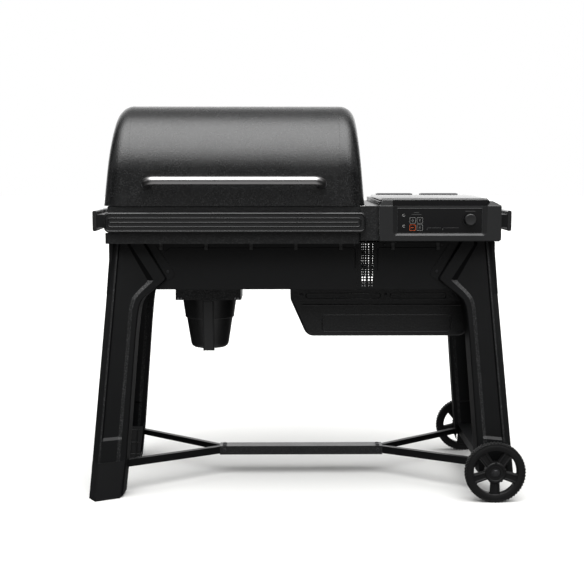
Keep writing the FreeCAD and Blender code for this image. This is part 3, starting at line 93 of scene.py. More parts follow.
def make_studio():
    world = bpy.data.worlds.new("studio")
    world.use_nodes = True
    SCENE.world = world
    tree = world.node_tree
    tree.nodes.clear()
    output = add_node(tree, "OutputWorld")
    mix = add_node(tree, "MixShader")
    path = add_node(tree, "LightPath")
    backdrop = add_node(tree, "Background", {"Color": (1, 1, 1, 1)})
    studio = add_node(tree, "Background")
    direction = add_node(tree, "TexCoord")
    split = add_node(tree, "SeparateXYZ")
    flip = add_node(tree, "Math", {1: -1.0}, operation="MULTIPLY")
    angle = add_node(tree, "Math", operation="ARCTAN2")
    share = add_node(tree, "MapRange", {"From Min": -math.pi / 2, "From Max": math.pi * 1.5})
    # the studio is darker towards its two side walls
    aside = add_node(tree, "Math", operation="ABSOLUTE")
    walls = add_node(tree, "MapRange", {"From Min": 0.32, "From Max": 0.8, "To Min": 1.0,
                                        "To Max": SIDE_LIGHT}, interpolation_type="SMOOTHSTEP")
    power = add_node(tree, "Math", {1: LIGHT_TOP}, operation="MULTIPLY")
    ramp = add_node(tree, "ValToRGB")
    stops = ramp.color_ramp.elements
    while len(stops) > 1:
        stops.remove(stops[-1])
    for index, (place, light) in enumerate(STUDIO_LIGHT):
        stop = stops[0] if index == 0 else stops.new(place)
        stop.position = place
        level = light / LIGHT_TOP
        stop.color = (level, level, level, 1)
    # angles run from -90 (down) through 0 (front) and 90 (up) to 180 and on to 270
    turn = add_node(tree, "Math", {1: -math.pi / 2}, operation="LESS_THAN")
    full = add_node(tree, "Math", {1: 2 * math.pi}, operation="MULTIPLY_ADD")
    link_nodes(tree, (
        (direction.outputs["Generated"], split.inputs[0]),
        (split.outputs["Y"], flip.inputs[0]),
        (split.outputs["Z"], angle.inputs[0]),
        (flip.outputs[0], angle.inputs[1]),
        (angle.outputs[0], turn.inputs[0]),
        (turn.outputs[0], full.inputs[0]),
        (angle.outputs[0], full.inputs[2]),
        (full.outputs[0], share.inputs["Value"]),
        (share.outputs[0], ramp.inputs["Fac"]),
        (ramp.outputs["Color"], studio.inputs["Color"]),
        (split.outputs["X"], aside.inputs[0]),
        (aside.outputs[0], walls.inputs["Value"]),
        (walls.outputs[0], power.inputs[0]),
        (power.outputs[0], studio.inputs["Strength"]),
        (path.outputs["Is Camera Ray"], mix.inputs["Fac"]),
        (studio.outputs[0], mix.inputs[1]),
        (backdrop.outputs[0], mix.inputs[2]),
        (mix.outputs[0], output.inputs["Surface"]),
    ))


make_studio()

# -------------------------------------------------------------------------- materials


def grained(name, colour, roughness, grain=900, depth=0.0002, strength=0.5, metallic=0.0,
            specular=0.5, patch=0.25, stretch=(1, 1, 1), coarse=None, painted_glints=None):
    """A procedural finish: fine grain in the normal, and patches in colour and gloss; bright
    flecks in the colour are painted glints.
    """
    material = bpy.data.materials.new(name)
    material.use_nodes = True
    tree = material.node_tree
    shader = tree.nodes["Principled BSDF"]
    shader.inputs["Metallic"].default_value = metallic
    shader.inputs["Specular IOR Level"].default_value = specular
    place = add_node(tree, "TexCoord")
    mapping = add_node(tree, "Mapping", {"Scale": stretch})
    fine = add_node(tree, "TexNoise", {"Scale": grain, "Detail": 4.0, "Roughness": 0.6})
    cloud = add_node(tree, "TexNoise", {"Scale": 14.0, "Detail": 5.0})
    dull, bright = ((*[part * share for part in colour], 1) for share in (1 - patch, 1 + patch))
    mottle = add_node(tree, "Mix", data_type="RGBA")
    mottle.inputs[6].default_value = dull
    mottle.inputs[7].default_value = bright
    gloss = add_node(tree, "MapRange", {"To Min": max(roughness - 0.06, 0.02),
                                        "To Max": min(roughness + 0.06, 1.0)})
    bump = add_node(tree, "Bump", {"Strength": strength, "Distance": depth})
    pairs = [
        (place.outputs["Object"], mapping.inputs["Vector"]),
        (mapping.outputs["Vector"], fine.inputs["Vector"]),
        (place.outputs["Object"], cloud.inputs["Vector"]),
        (fine.outputs["Fac"], mottle.inputs[0]),
        (mottle.outputs[2], shader.inputs["Base Color"]),
        (cloud.outputs["Fac"], gloss.inputs["Value"]),
        (gloss.outputs[0], shader.inputs["Roughness"]),
        (fine.outputs["Fac"], bump.inputs["Height"]),
        (bump.outputs[0], shader.inputs["Normal"]),
    ]
    if coarse:
        scale, rough_depth = coarse
        pebble = add_node(tree, "TexVoronoi", feature="SMOOTH_F1")
        pebble.inputs["Scale"].default_value = scale
        under = add_node(tree, "Bump", {"Strength": 1.0, "Distance": rough_depth})
        pairs += [
            (place.outputs["Object"], pebble.inputs["Vector"]),
            (pebble.outputs["Distance"], under.inputs["Height"]),
            (under.outputs[0], bump.inputs["Normal"]),
        ]
    # painted glints: bright flecks mixed into the base colour stand in for the coat's glints
    if painted_glints:
        scale, light = painted_glints
        dots = add_node(tree, "TexNoise", {"Scale": scale, "Detail": 1.5})
        spread = add_node(tree, "MapRange", {"From Min": 0.50, "From Max": 0.68})
        painted_glint_mix = add_node(tree, "Mix", data_type="RGBA")
        painted_glint_mix.inputs[7].default_value = (light, light * 1.02, light * 1.04, 1)
        pairs.remove((mottle.outputs[2], shader.inputs["Base Color"]))
        pairs += [
            (place.outputs["Object"], dots.inputs["Vector"]),
            (dots.outputs["Fac"], spread.inputs["Value"]),
            (spread.outputs[0], painted_glint_mix.inputs[0]),
            (mottle.outputs[2], painted_glint_mix.inputs[6]),
            (painted_glint_mix.outputs[2], shader.inputs["Base Color"]),
        ]
    link_nodes(tree, pairs)
    return material


def glow(name, colour):
    """Printed or lit marks: a plain ink with a little unevenness."""
    return grained(name, colour, 0.5, grain=2500, depth=0.00003, patch=0.12)


SATIN = grained("satin_coat", (0.0046, 0.0048, 0.0051), 0.42, depth=0.00022, strength=0.45,
                specular=0.22)
# a darker, duller copy of the satin coat for faces that lie in shade: painted shade
PAINTED_SHADE = grained("painted_shade_coat", (0.0030, 0.0031, 0.0033), 0.5, strength=0.4, specular=0.06)
# a lighter copy of the coat with strong bright flecks, for faces that catch the light: painted
# highlight and painted glints
PAINTED_GLINT = grained("painted_glint_coat", (0.0060, 0.0062, 0.0064), 0.40, grain=700, depth=0.0003,
                strength=0.6, specular=0.35, coarse=(330, 0.0008), painted_glints=(340, 0.045))
# these coats, like the glint coat above, carry bright flecks in their colour: painted glints
LID_COAT = grained("lid_coat", (0.0036, 0.0037, 0.0039), 0.27, depth=0.00015, coarse=(400, 0.0004),
                   painted_glints=(330, 0.022))
TEXTURED = grained("textured_coat", (0.0042, 0.0044, 0.0047), 0.36, grain=520, depth=0.0003,
                   strength=0.6, specular=0.4, coarse=(360, 0.0006), painted_glints=(330, 0.020))
KEG_COAT = grained("keg_coat", (0.0065, 0.0067, 0.0070), 0.38, specular=0.6, painted_glints=(420, 0.016))
RAIL = grained("rail_coat", (0.0050, 0.0052, 0.0055), 0.26, grain=1200, depth=0.0001, strength=0.3,
               specular=0.6)
PLASTIC = grained("moulded_plastic", (0.0060, 0.0062, 0.0065), 0.45, grain=1500, depth=0.00012,
                  strength=0.4, specular=0.3)
BEZEL = grained("bezel_plastic", (0.0105, 0.0108, 0.0112), 0.38, grain=1600, depth=0.0001,
                strength=0.35, specular=0.45)
# a darker copy of the bezel plastic for the lips and the back of the recess: painted shade
BEZEL_PAINTED_SHADE = grained("bezel_painted_shade", (0.0060, 0.0062, 0.0065), 0.38, grain=1600, depth=0.0001,
                    strength=0.35, specular=0.4)
# a lighter copy of the bezel plastic for the lower lip and the line round the display: painted
# highlight
BEZEL_PAINTED_HIGHLIGHT = grained("bezel_painted_highlight", (0.026, 0.0265, 0.027), 0.35, grain=1600, depth=0.0001,
                     strength=0.35)
WHEEL = grained("wheel_plastic", (0.0042, 0.0042, 0.0044), 0.50, grain=1300, depth=0.00016,
                strength=0.45, specular=0.2)
SCREEN = grained("screen", (0.0036, 0.0036, 0.0039), 0.12, grain=3000, depth=0.00001, strength=0.1,
                 specular=0.2)
KEY = grained("key_plastic", (0.0036, 0.0036, 0.0039), 0.25, grain=2500, depth=0.00003,
              strength=0.2, specular=0.25)
KNOB = grained("knob_plastic", (0.012, 0.012, 0.0125), 0.35, grain=1800, depth=0.00006,
               strength=0.3)
HOPPER_TOP = grained("hopper_coat", (0.012, 0.0122, 0.0125), 0.26, depth=0.00003, strength=0.2,
                     specular=0.8)
HOOK = grained("hook_coat", (0.013, 0.0133, 0.0137), 0.35, strength=0.4)
STEEL_WORN = grained("worn_steel", (0.20, 0.20, 0.21), 0.35, grain=700, metallic=1.0, patch=0.3)
HANDLE = grained("satin_steel", (0.36, 0.355, 0.355), 0.28, depth=0.00006, strength=0.25,
                 metallic=1.0, stretch=(0.05, 1, 1), patch=0.08)
STEEL = grained("plain_steel", (0.42, 0.42, 0.43), 0.33, grain=800, depth=0.0001, strength=0.3,
                metallic=1.0, patch=0.12)
DARK_STEEL = grained("dark_steel", (0.03, 0.03, 0.032), 0.4, strength=0.4, metallic=0.6)
ENAMEL = grained("porcelain_enamel", (0.011, 0.011, 0.012), 0.22, grain=500, depth=0.0003,
                 strength=0.4, specular=0.6, coarse=(300, 0.0003))
CAST = grained("cast_alloy", (0.28, 0.28, 0.29), 0.45, grain=600, depth=0.0004, metallic=1.0)
INK = glow("grey_ink", (0.22, 0.22, 0.215))
FAINT_INK = glow("faint_ink", (0.05, 0.05, 0.05))
AMBER = glow("amber_ink", (0.55, 0.085, 0.015))

# ------------------------------------------------------------------------ mesh building


def arc(centre, radius, start, end, steps=8):
    """Points on an arc in a plane, angles in degrees."""
    points = []
    for index in range(steps + 1):
        angle = math.radians(start + (end - start) * index / steps)
        points.append((centre[0] + radius * math.cos(angle),
                       centre[1] + radius * math.sin(angle)))
    return points


def rounded(left, bottom, right, top, radius, steps=6):
    """A rectangle with round corners, anticlockwise from its lower right corner."""
    radius = max(min(radius, (right - left) / 2 - 1e-4, (top - bottom) / 2 - 1e-4), 1e-4)
    points = arc((right - radius, bottom + radius), radius, -90, 0, steps)
    points += arc((right - radius, top - radius), radius, 0, 90, steps)
    points += arc((left + radius, top - radius), radius, 90, 180, steps)
    points += arc((left + radius, bottom + radius), radius, 180, 270, steps)
    return points


def lift(point, axis, along):
    """A point of a flat outline, set at a place along the axis across it."""
    full = list(point)
    full.insert("XYZ".index(axis), along)
    return tuple(full)


def blend_table(table, value):
    """Straight-line reading of a table of (place, value) rows."""
    if value <= table[0][0]:
        return table[0][1]
    for (low, first), (high, second) in zip(table, table[1:]):
        if value <= high:
            return first + (second - first) * (value - low) / (high - low)
    return table[-1][1]


class Shape:
    """Collects the parts of one piece, in millimetres."""

    def __init__(self):
        self.points, self.faces, self.skins = [], [], []

    def add(self, points, faces, skin=0):
        base = len(self.points)
        self.points += [tuple(point) for point in points]
        self.faces += [[base + index for index in face] for face in faces]
        self.skins += [skin] * len(faces)
        return self

    def loft(self, rings, closed=True, caps=(False, False), skin=0):
        count = len(rings[0])
        points = [point for ring in rings for point in ring]
        faces = []
        last = count if closed else count - 1
        for level in range(len(rings) - 1):
            for index in range(last):
                near = level * count + index
                far = level * count + (index + 1) % count
                faces.append((near, far, far + count, near + count))
        if caps[0]:
            faces.append(tuple(reversed(range(count))))
        if caps[1]:
            faces.append(tuple(range(len(points) - count, len(points))))
        return self.add(points, faces, skin)

    def prism(self, outline, axis, start, end, skin=0):
        rings = [[lift(point, axis, along) for point in outline] for along in (start, end)]
        return self.loft(rings, caps=(True, True), skin=skin)

    def box(self, low, high, skin=0):
        outline = [(low[0], low[1]), (high[0], low[1]), (high[0], high[1]), (low[0], high[1])]
        return self.prism(outline, "Z", low[2], high[2], skin)

    def lathe(self, profile, axis, centre, steps=64, closed=False):
        """profile holds (radius, place along the axis); centre the other two coordinates."""
        rings = []
        for radius, along in profile:
            ring = arc(centre, max(radius, 0.001), 0, 360 - 360 / steps, steps - 1)
            rings.append([lift(point, axis, along) for point in ring])
        if closed:
            rings.append(rings[0])
            return self.loft(rings)
        return self.loft(rings, caps=(True, True))

    def tube(self, path, radius, steps=16):
        path = [Vector(point) for point in path]
        normal = None
        rings = []
        for index, point in enumerate(path):
            before = path[max(index - 1, 0)]
            after = path[min(index + 1, len(path) - 1)]
            heading = (after - before).normalized()
            if normal is None:
                normal = heading.orthogonal().normalized()
            normal = (normal - heading * normal.dot(heading)).normalized()
            side = heading.cross(normal)
            size = radius(index) if callable(radius) else radius
            ring = []
            for step in range(steps):
                angle = 2 * math.pi * step / steps
                ring.append(point + (normal * math.cos(angle) + side * math.sin(angle)) * size)
            rings.append(ring)
        return self.loft(rings, caps=(True, True))

    def bead(self, path, width, height, closed=False):
        """A low round rib along a path on a surface that faces the front."""
        outward = Vector((0, -1, 0))
        path = [Vector(point) for point in path]
        rings = []
        count = len(path)
        for index, point in enumerate(path):
            before = path[index - 1] if closed or index else point
            after = path[(index + 1) % count] if closed or index < count - 1 else point
            heading = (after - before).normalized()
            side = heading.cross(outward).normalized()
            ring = []
            for share, rise in ((-1, -0.4), (-0.85, 0.15), (-0.45, 0.8), (0, 1),
                                (0.45, 0.8), (0.85, 0.15), (1, -0.4)):
                ring.append(point + side * share * width / 2 + outward * rise * height)
            rings.append(ring)
        if closed:
            rings.append(rings[0])
            return self.loft(rings)
        return self.loft(rings, caps=(True, True))

    def mirrored(self, x=None, y=None):
        """The same piece mirrored across a plane of constant x or y."""
        other = Shape()
        flip = (x is None) == (y is None)
        for point in self.points:
            across = point[0] if x is None else 2 * x - point[0]
            deep = point[1] if y is None else 2 * y - point[1]
            other.points.append((across, deep, point[2]))
        other.faces = [list(face) if flip else list(reversed(face)) for face in self.faces]
        other.skins = list(self.skins)
        return other

    def make(self, name, materials, body="grill", slot=None, replaces=(), bevel=0.8,
             segments=2, angle=30, wall=None, outward=None):
        mesh = bpy.data.meshes.new(name)
        mesh.from_pydata([[part * MM for part in point] for point in self.points], [], self.faces)
        work = bmesh.new()
        work.from_mesh(mesh)
        for face, skin in zip(work.faces, self.skins):
            face.material_index = skin
        bmesh.ops.remove_doubles(work, verts=work.verts, dist=0.00001)
        bmesh.ops.dissolve_degenerate(work, edges=work.edges, dist=0.000005)
        bmesh.ops.recalc_face_normals(work, faces=work.faces)
        if outward is not None:
            total = sum((face.normal * face.calc_area() for face in work.faces), Vector())
            if total.dot(Vector(outward)) < 0:
                bmesh.ops.reverse_faces(work, faces=work.faces)
        work.to_mesh(mesh)
        work.free()
        for material in (materials if isinstance(materials, (list, tuple)) else [materials]):
            mesh.materials.append(material)
        piece = bpy.data.objects.new(name, mesh)
        SCENE.collection.objects.link(piece)
        mesh.shade_smooth()
        mesh.set_sharp_from_angle(angle=math.radians(angle))
        if wall:
            solid = piece.modifiers.new("wall", "SOLIDIFY")
            solid.thickness = wall * MM
            solid.offset = -1.0
            solid.use_even_offset = True
        if bevel:
            round_off(piece, bevel, segments, angle)
        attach(piece, body)
        if replaces:
            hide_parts(*replaces)
        return piece


def round_off(piece, width, segments=2, angle=30):
    bevel = piece.modifiers.new("edge", "BEVEL")
    bevel.width = width * MM
    bevel.segments = segments
    bevel.limit_method = "ANGLE"
    bevel.angle_limit = math.radians(angle)
    bevel.use_clamp_overlap = True
    bevel.miter_outer = "MITER_ARC"
    bevel.harden_normals = False
    weighted = piece.modifiers.new("shading", "WEIGHTED_NORMAL")
    weighted.keep_sharp = True
    return piece


# ------------------------------------------------------------ CAD pieces that stay as is

FINISHES = (
    (TEXTURED,
     "barrel_tub lower_band stretcher_bar keg_bracket hopper_casing fascia "
     "auger_cover ash_keg"),
    (RAIL, "front_rail"),
    (PLASTIC,
     "side_rail_left side_rail_right foot_front_left foot_rear_left power_inlet "
     "fan_impeller"),
    (SATIN,
     "apron_left apron_right apron_rear leg_front_left leg_rear_left "
     "leg_front_right leg_rear_right stretcher_arms axle_beam hopper_lid "
     "keg_handle"),
    (HOOK, "tool_hooks"),
    (DARK_STEEL,
     "panel_screws frame_bolts hopper_bin fan_housing heat_baffle grease_tray "
     "hinge_brackets exhaust_duct lid_hinge_leaves"),
    (STEEL,
     "axle_rod auger_tube fire_pot hot_rod temperature_probe hinge_pins "
     "encoder_shaft auger_screw"),
    (BEZEL, "control_bezel"),
    (SCREEN, "display_window"),
    (CAST, "auger_motor"),
    (ENAMEL, "grill_grates upper_rack"),
    (LID_COAT, "lid_shell lid_end_left lid_end_right"),
    (HANDLE, "lid_handle"),
    (KNOB, "dial_knob"),
    (KEY, "key_upper_left key_upper_right key_lower_left key_lower_right"),
    (WHEEL, "wheel_front wheel_rear"),
)
NODE_FINISH = {name: finish for finish, names in FINISHES for name in names.split()}
NODE_BEVEL = {"lid_shell": 1.3, "lid_end_left": 1.3, "lid_end_right": 1.3, "tool_hooks": 0.3,
              "panel_screws": 0.6, "frame_bolts": 0.8,
              "display_window": 0.2, "apron_right": 0.0, "auger_screw": 0.0,
              "fan_impeller": 0.2, "exhaust_duct": 0.5, "grill_grates": 1.2}

for name, node in NODES.items():
    node.data.materials.clear()
    node.data.materials.append(NODE_FINISH[name])
    width = NODE_BEVEL.get(name, 0.6)
    if width:
        round_off(node, width, 2, 35)

# -------------------------------------------------------------------------------- legs

LEG_MIRROR_X = -9.0
LEG_CREASE = 22.0
RECESS_DEPTH = 6.5
RECESS_FOOT, RECESS_FULL = 176.0, 184.0

# height against the offset of the leg's inner edge from its outer edge
INNER_EDGE = ((0, 98), (112, 100.5), (470, 98), (540, 99), (566, 101), (580, 104.5), (592, 110),
              (604, 121), (615, 134), (640, 163.5), (647, 171), (652, 170.5), (756.5, 100))
# the same for the rim of the pressed panel, and for the foot of that rim
PANEL_RIM = ((182, 82), (560, 83), (580, 86), (595, 91), (610, 102), (625, 117), (640, 132),
             (646, 137), (655, 131), (751, 62))
PANEL_FLOOR = ((182, 72), (560, 72), (580, 74.5), (595, 78), (610, 88.5), (625, 102), (640, 116),
               (646, 119), (655, 113), (751, 52))
BEND_Z = 604.0
FLANGE_BACK = -213.0


def leg_row(height):
    """The leg's section at one height, from the back of its side to its return flange."""
    outer = -642.8 + 0.0904 * height
    corner = -302.0 + 0.085 * height
    slope = 0.53 - 0.43 * height / 757
    edge = blend_table(INNER_EDGE, height)
    rim = blend_table(PANEL_RIM, height)
    foot = blend_table(PANEL_FLOOR, height)
    sunk = RECESS_DEPTH * min(max((height - RECESS_FOOT) / (RECESS_FULL - RECESS_FOOT), 0), 1)
    gusset = height > BEND_Z

    def face(offset, depth=0.0):
        return (outer + offset, corner + slope * (offset - LEG_CREASE) + depth, height)

    side_back = FLANGE_BACK if gusset else corner + 95
    flange_back = FLANGE_BACK if gusset else face(edge)[1] + 66
    return [
        (outer + 1, side_back, height),
        (outer, min(corner + 35, side_back - 8), height),
        (outer + 9, corner + 20, height),
        face(LEG_CREASE),
        face(27),
        face(30, sunk),
        face(foot * 0.5 + 15, sunk),
        face(foot, sunk),
        face(rim),
        face(edge - 3),
        face(edge, 3),
        (outer + edge + 3, max(flange_back, face(edge, 4)[1]), height),
    ]


def leg_heights(bottom, top):
    marks = {height for height, _ in INNER_EDGE + PANEL_RIM} | {RECESS_FOOT, RECESS_FULL, BEND_Z}
    marks |= {BEND_Z + 1.5, 60.0 + bottom, 240.0, 300.0, 360.0, 420.0, 480.0, 700.0}
    return [bottom] + sorted(mark for mark in marks if bottom + 4 < mark < top - 4) + [top]


def leg_flange(top):
    """The flat plate that bolts the leg to the apron."""
    corner = arc((-400, 664), 13, 30, -60, 5)
    outline = [(-560, 640), (-407, 645)] + corner[::-1] + [(-447, top), (-566, top)]
    return Shape().prism(outline, "Y", -214.4, -212.2)


def build_legs():
    for side, bottom, top in (("left", 5.0, 756.5), ("right", 66.0, 761.5)):
        sheet = Shape()
        rows = [leg_row(height) for height in leg_heights(bottom, top)]
        sheet.loft(rows, closed=False)
        # the crease and the lower wall of the pressed panel get the glint coat, a painted
        # highlight; the upper wall and the return flange get the dark coat, painted shade
        strips = len(rows[0]) - 1
        for index in range(len(sheet.faces)):
            strip, height = index % strips, rows[index // strips][0][2]
            if strip == 3 or (strip == 7 and height < 646):
                sheet.skins[index] = 1
            elif strip == 10 or (strip == 7 and height >= 646):
                sheet.skins[index] = 2
        plate = leg_flange(top)
        across = LEG_MIRROR_X if side == "right" else None
        for end in ("front", "rear"):
            deep = 0.0 if end == "rear" else None
            shape, flange = sheet, plate
            if across is not None or deep is not None:
                shape, flange = sheet.mirrored(across, deep), plate.mirrored(across, deep)
            facing = (-1 if side == "left" else 1, -1 if end == "front" else 1, 0)
            name = f"leg_{end}_{side}"
            shape.make(f"{name}_pressing", (SATIN, PAINTED_GLINT, PAINTED_SHADE), slot="powder_coat_black",
                       replaces=[name], wall=2.4, outward=facing, bevel=1.3, segments=3, angle=14)
            flange.make(f"{name}_plate", SATIN, slot="powder_coat_black", bevel=0.5)


build_legs()


def build_foot_ribs():
    """Moulded ribs on the cap of the rear left leg, on its face towards the cook."""
    low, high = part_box("foot_rear_left")
    front = low[1] / MM
    left, right = low[0] / MM, high[0] / MM
    ribs = Shape()
    for across in (right - 47, right - 27):
        ribs.bead([(across, front + 0.6, 8), (across + 6, front + 0.6, 104)], 3.0, 1.0)
    for up in (18, 58, 100):
        ribs.bead([(left + 48, front + 0.6, up), (right - 14, front + 0.6, up)], 3.0, 1.0)
    ribs.make("foot_rear_left_ribs", PLASTIC, slot="plastic_black", bevel=0)


build_foot_ribs()


# ------------------------------------------------------------------- rail, side rails, aprons

def build_rail():
    """Concentric rounded beads pressed into the face of the accessory rail."""
    left, right, bottom, top = -581.0, 172.0, 791.0, 848.0
    face, back = -296.0, -277.6
    rail = Shape()
    rail.prism(rounded(left, bottom, right, top, 14, 8), "Y", face, back)
    rail.box((left + 4, back, bottom + 4), (158.0, -258.4, top - 4))
    for inset, start, width, rise in ((3.6, 3.6, 6.6, 3.8), (15.9, 11.0, 5.8, 3.2)):
        loop = rounded(left + start, bottom + inset, right - inset, top - inset, 14 - inset / 3, 8)
        path = [(across, face, up) for across, up in loop]
        rail.bead(path, width, rise, closed=True)
    middle = (bottom + top) / 2
    rail.bead([(left + 18, face, middle), (right - 23, face, middle)], 5.8, 3.2)
    rail.make("front_rail_beaded", RAIL, slot="rail_black", replaces=["front_rail"], bevel=0.6,
              angle=40)


build_rail()


def build_side_rails():
    """Folded side rails: a rounded outer lip on a narrower neck."""
    for side, lip, inner, sign in (("left", -620.0, -575.2, 1), ("right", 599.0, 563.2, -1)):
        rail = Shape()
        near, far = sorted((lip + 0.2 * sign, lip + 13.0 * sign))
        rail.prism(rounded(near, 792.2, far, 851.8, 5.0, 6), "Y", -257.4, 199.8)
        near, far = sorted((lip + 12.0 * sign, inner))
        rail.box((near, -255.5, 803.4), (far, 199.0, 840.6), skin=1)
        rail.make(f"side_rail_{side}_folded", (RAIL, SATIN), slot="plastic_black",
                  replaces=[f"side_rail_{side}"], bevel=1.1, segments=3, angle=40)


build_side_rails()

APRON_FACE = -212.0


def build_apron_lines():
    """Shallow pressed lines that stiffen the aprons."""
    lines = Shape()
    turn = arc((137, 729), 10, 90, 0, 6)
    path = [(-399, APRON_FACE, 739)]
    path += [(across, APRON_FACE, up) for across, up in turn] + [(147, APRON_FACE, 681)]
    lines.bead(path, 4.2, 1.6)
    lines.bead([(-399, APRON_FACE, 739), (-414, APRON_FACE, 729)], 4.2, 1.6)
    turn = arc((223, 730), 10, 90, 180, 6)
    path = [(385, APRON_FACE, 740)]
    path += [(across, APRON_FACE, up) for across, up in turn] + [(213, APRON_FACE, 673)]
    lines.bead(path, 4.2, 1.6)
    lines.make("apron_pressed_lines", SATIN, slot="powder_coat_black", bevel=0)


build_apron_lines()


def pan_head(shape, centre, radius, rise, outward):
    """A domed screw head with a cross recess, on a face towards -Y or +Y."""
    across, deep, up = centre
    profile = [(radius, deep), (radius, deep + outward * rise * 0.35),
               (radius * 0.8, deep + outward * rise * 0.85),
               (radius * 0.45, deep + outward * rise),
               (radius * 0.36, deep + outward * rise * 0.45), (0.01, deep + outward * rise * 0.45)]
    shape.lathe(profile, "Y", (across, up), 18)


def build_screws():
    """Cross-head screws of the aprons, leg flanges and auger cover, and the cover's posts."""
    heads = Shape()
    for across in (144.6, 234, 403):
        pan_head(heads, (across, APRON_FACE, 750.5), 3.8, 2.6, -1)
    for across in (-406.5, 388.5):
        pan_head(heads, (across, -214.5, 671), 5.0, 2.6, -1)
        pan_head(heads, (across, 214.5, 671), 5.0, 2.6, 1)
    for across in (-9.2, 248, 452):
        pan_head(heads, (across, -101.6, 588), 4.4, 2.4, -1)
    for across, top in ((0, 622), (130, 622), (300, 617), (440, 617)):
        heads.lathe([(3, 610), (3, top)], "Z", (across, -94), 16)
    heads.make("apron_screw_heads", DARK_STEEL, slot="steel_dark", replaces=["panel_screws"],
               bevel=0)


build_screws()


def build_vent():
    """The perforated strip of the rear apron, behind the holes of the front one."""
    vent = Shape()
    for step in range(8):
        across = 190.6 + 7.8 * step
        vent.box((across - 1.9, 210.3, 617.5), (across + 1.9, 211.7, 727.5))
    for step in range(14):
        up = 624.5 + 7.7 * step
        vent.box((190.2, 210.2, up - 1.7), (245.8, 211.6, up + 1.7))
    vent.make("apron_rear_vent", SATIN, slot="powder_coat_black", bevel=0.3)


build_vent()

# ------------------------------------------------------------------------ lid and handle


def build_handle():
    """One bent tube, with a collar where each end meets the lid."""
    left, right, bar_y, bar_z = -461.0, 45.0, -300.0, 939.0
    foot = Vector((0, -262.5, 927.0))
    radius, bend, steps = 12.9, 26.0, 9
    reach = Vector((0, bar_y, bar_z)) - foot
    outward = reach.normalized()
    path = []
    for across, inward in ((left, 1), (right, -1)):
        start = Vector((across, foot.y, foot.z))
        corner = Vector((across, bar_y, bar_z))
        sideways = Vector((inward, 0, 0))
        centre = corner - outward * bend + sideways * bend
        stretch = [start, start.lerp(corner - outward * bend, 0.5)]
        for index in range(steps + 1):
            angle = math.pi / 2 * index / steps
            stretch.append(centre - sideways * bend * math.cos(angle)
                           + outward * bend * math.sin(angle))
        path += stretch if inward > 0 else stretch[::-1]
    tube = Shape()
    tube.tube(path, radius, 28)
    tube.make("lid_handle_tube", HANDLE, body="lid", slot="handle_chrome",
              replaces=["lid_handle"], bevel=0, angle=50)
    collars = Shape()
    for across in (left, right):
        near = [foot + Vector((across, 0, 0)) + outward * step for step in (0.2, 2.6, 3.4)]
        collars.tube(near, lambda index: (15.4, 15.2, 14.0)[index], 28)
    collars.make("lid_handle_collars", DARK_STEEL, body="lid", slot="handle_chrome", bevel=0.3)


build_handle()

# ------------------------------------------------------------------------ control panel

PANEL_FRONT, PANEL_DEEP = -290.0, -287.1


def build_bezel():
    """The moulded panel: a U-shaped face with a sloped lip round the display's recess."""
    bezel = Shape()
    outer = [(212, 866), (212, 766), (560, 766), (563, 769), (563, 866)]
    rim = [(523, 866), (521.5, 792), (519, 785), (513, 781), (258, 781), (252.5, 784.5),
           (250.5, 792), (249, 866)]
    inner = [(508.5, 866), (507, 792), (506.9, 789), (506.8, 788.1), (263.2, 788.1),
             (263.1, 789), (263, 792), (261.5, 866)]
    bezel.prism(outer + rim, "Y", PANEL_FRONT, -270)
    # the sloped lips take the darker lip plastic: painted shade
    lips = [[lift(point, "Y", place) for point in path]
            for path, place in ((rim, PANEL_FRONT), (inner, PANEL_DEEP), (inner, -276))]
    start = len(bezel.faces)
    bezel.loft(lips, closed=False, skin=1)
    # the lower lip, in the middle of the run, takes the bright edge plastic: a painted highlight
    # where it is lit from above
    bezel.skins[start + 3] = 2
    header = [(261.5, 858.6), (508.5, 858.6), (508.5, 866), (261.5, 866)]
    bezel.prism(header, "Y", PANEL_DEEP, -276)
    # the back of the recess, in the darker lip plastic: painted shade
    bezel.box((249, -276.5, 767), (523, -262.2, 866), skin=1)
    # two blocks rise beside a deep shadow gap, each behind a narrow bright shoulder
    for left, right, low_left, low_right in ((212, 249, 221, 257), (523, 563, 529, 557)):
        near, far, lean, tall = (0, 8, 2.6, 882.6) if left < 300 else (4, 18, 4.6, 880.0)
        front = [(left, PANEL_FRONT, 866), (right, PANEL_FRONT, 866)]
        shoulder = [(left + 0.8, PANEL_FRONT + 1.6, 867.4), (right, PANEL_FRONT + 1.6, 867.4)]
        crown = [(low_left + near, PANEL_FRONT + 1.6 + lean, tall),
                 (low_right - far, PANEL_FRONT + 1.6 + lean, tall)]
        back = [(across, -262.2, up) for across, _, up in crown]
        foot = [(left, -262.2, 866), (right, -262.2, 866)]
        strips = [front, shoulder, crown, back, foot]
        points = [point for pair in strips for point in pair]
        faces = [(2 * k, 2 * k + 1, 2 * k + 3, 2 * k + 2) for k in range(4)]
        faces += [(0, 2, 4, 6, 8), (9, 7, 5, 3, 1), (8, 9, 1, 0)]
        bezel.add(points, faces)
    # the back wall of the gap takes the darker key plastic: painted shade
    bezel.box((246, -268, 866), (531, -262.2, 882.6), skin=3)
    bezel.make("control_panel_moulding", (BEZEL, BEZEL_PAINTED_SHADE, BEZEL_PAINTED_HIGHLIGHT, KEY),
               slot="plastic_black", replaces=["control_bezel"], bevel=0.9, segments=3, angle=16)
    # the line round the display takes the bright edge plastic: painted highlight
    frame_line = Shape()
    loop = [(across, -287.6, up) for across, up in rounded(262.4, 787.2, 507.6, 859.4, 2.5, 4)]
    frame_line.bead(loop, 1.9, 0.9, closed=True)
    frame_line.make("display_frame", BEZEL_PAINTED_HIGHLIGHT, slot="plastic_black", bevel=0)


build_bezel()

INK_RISE = 0.12


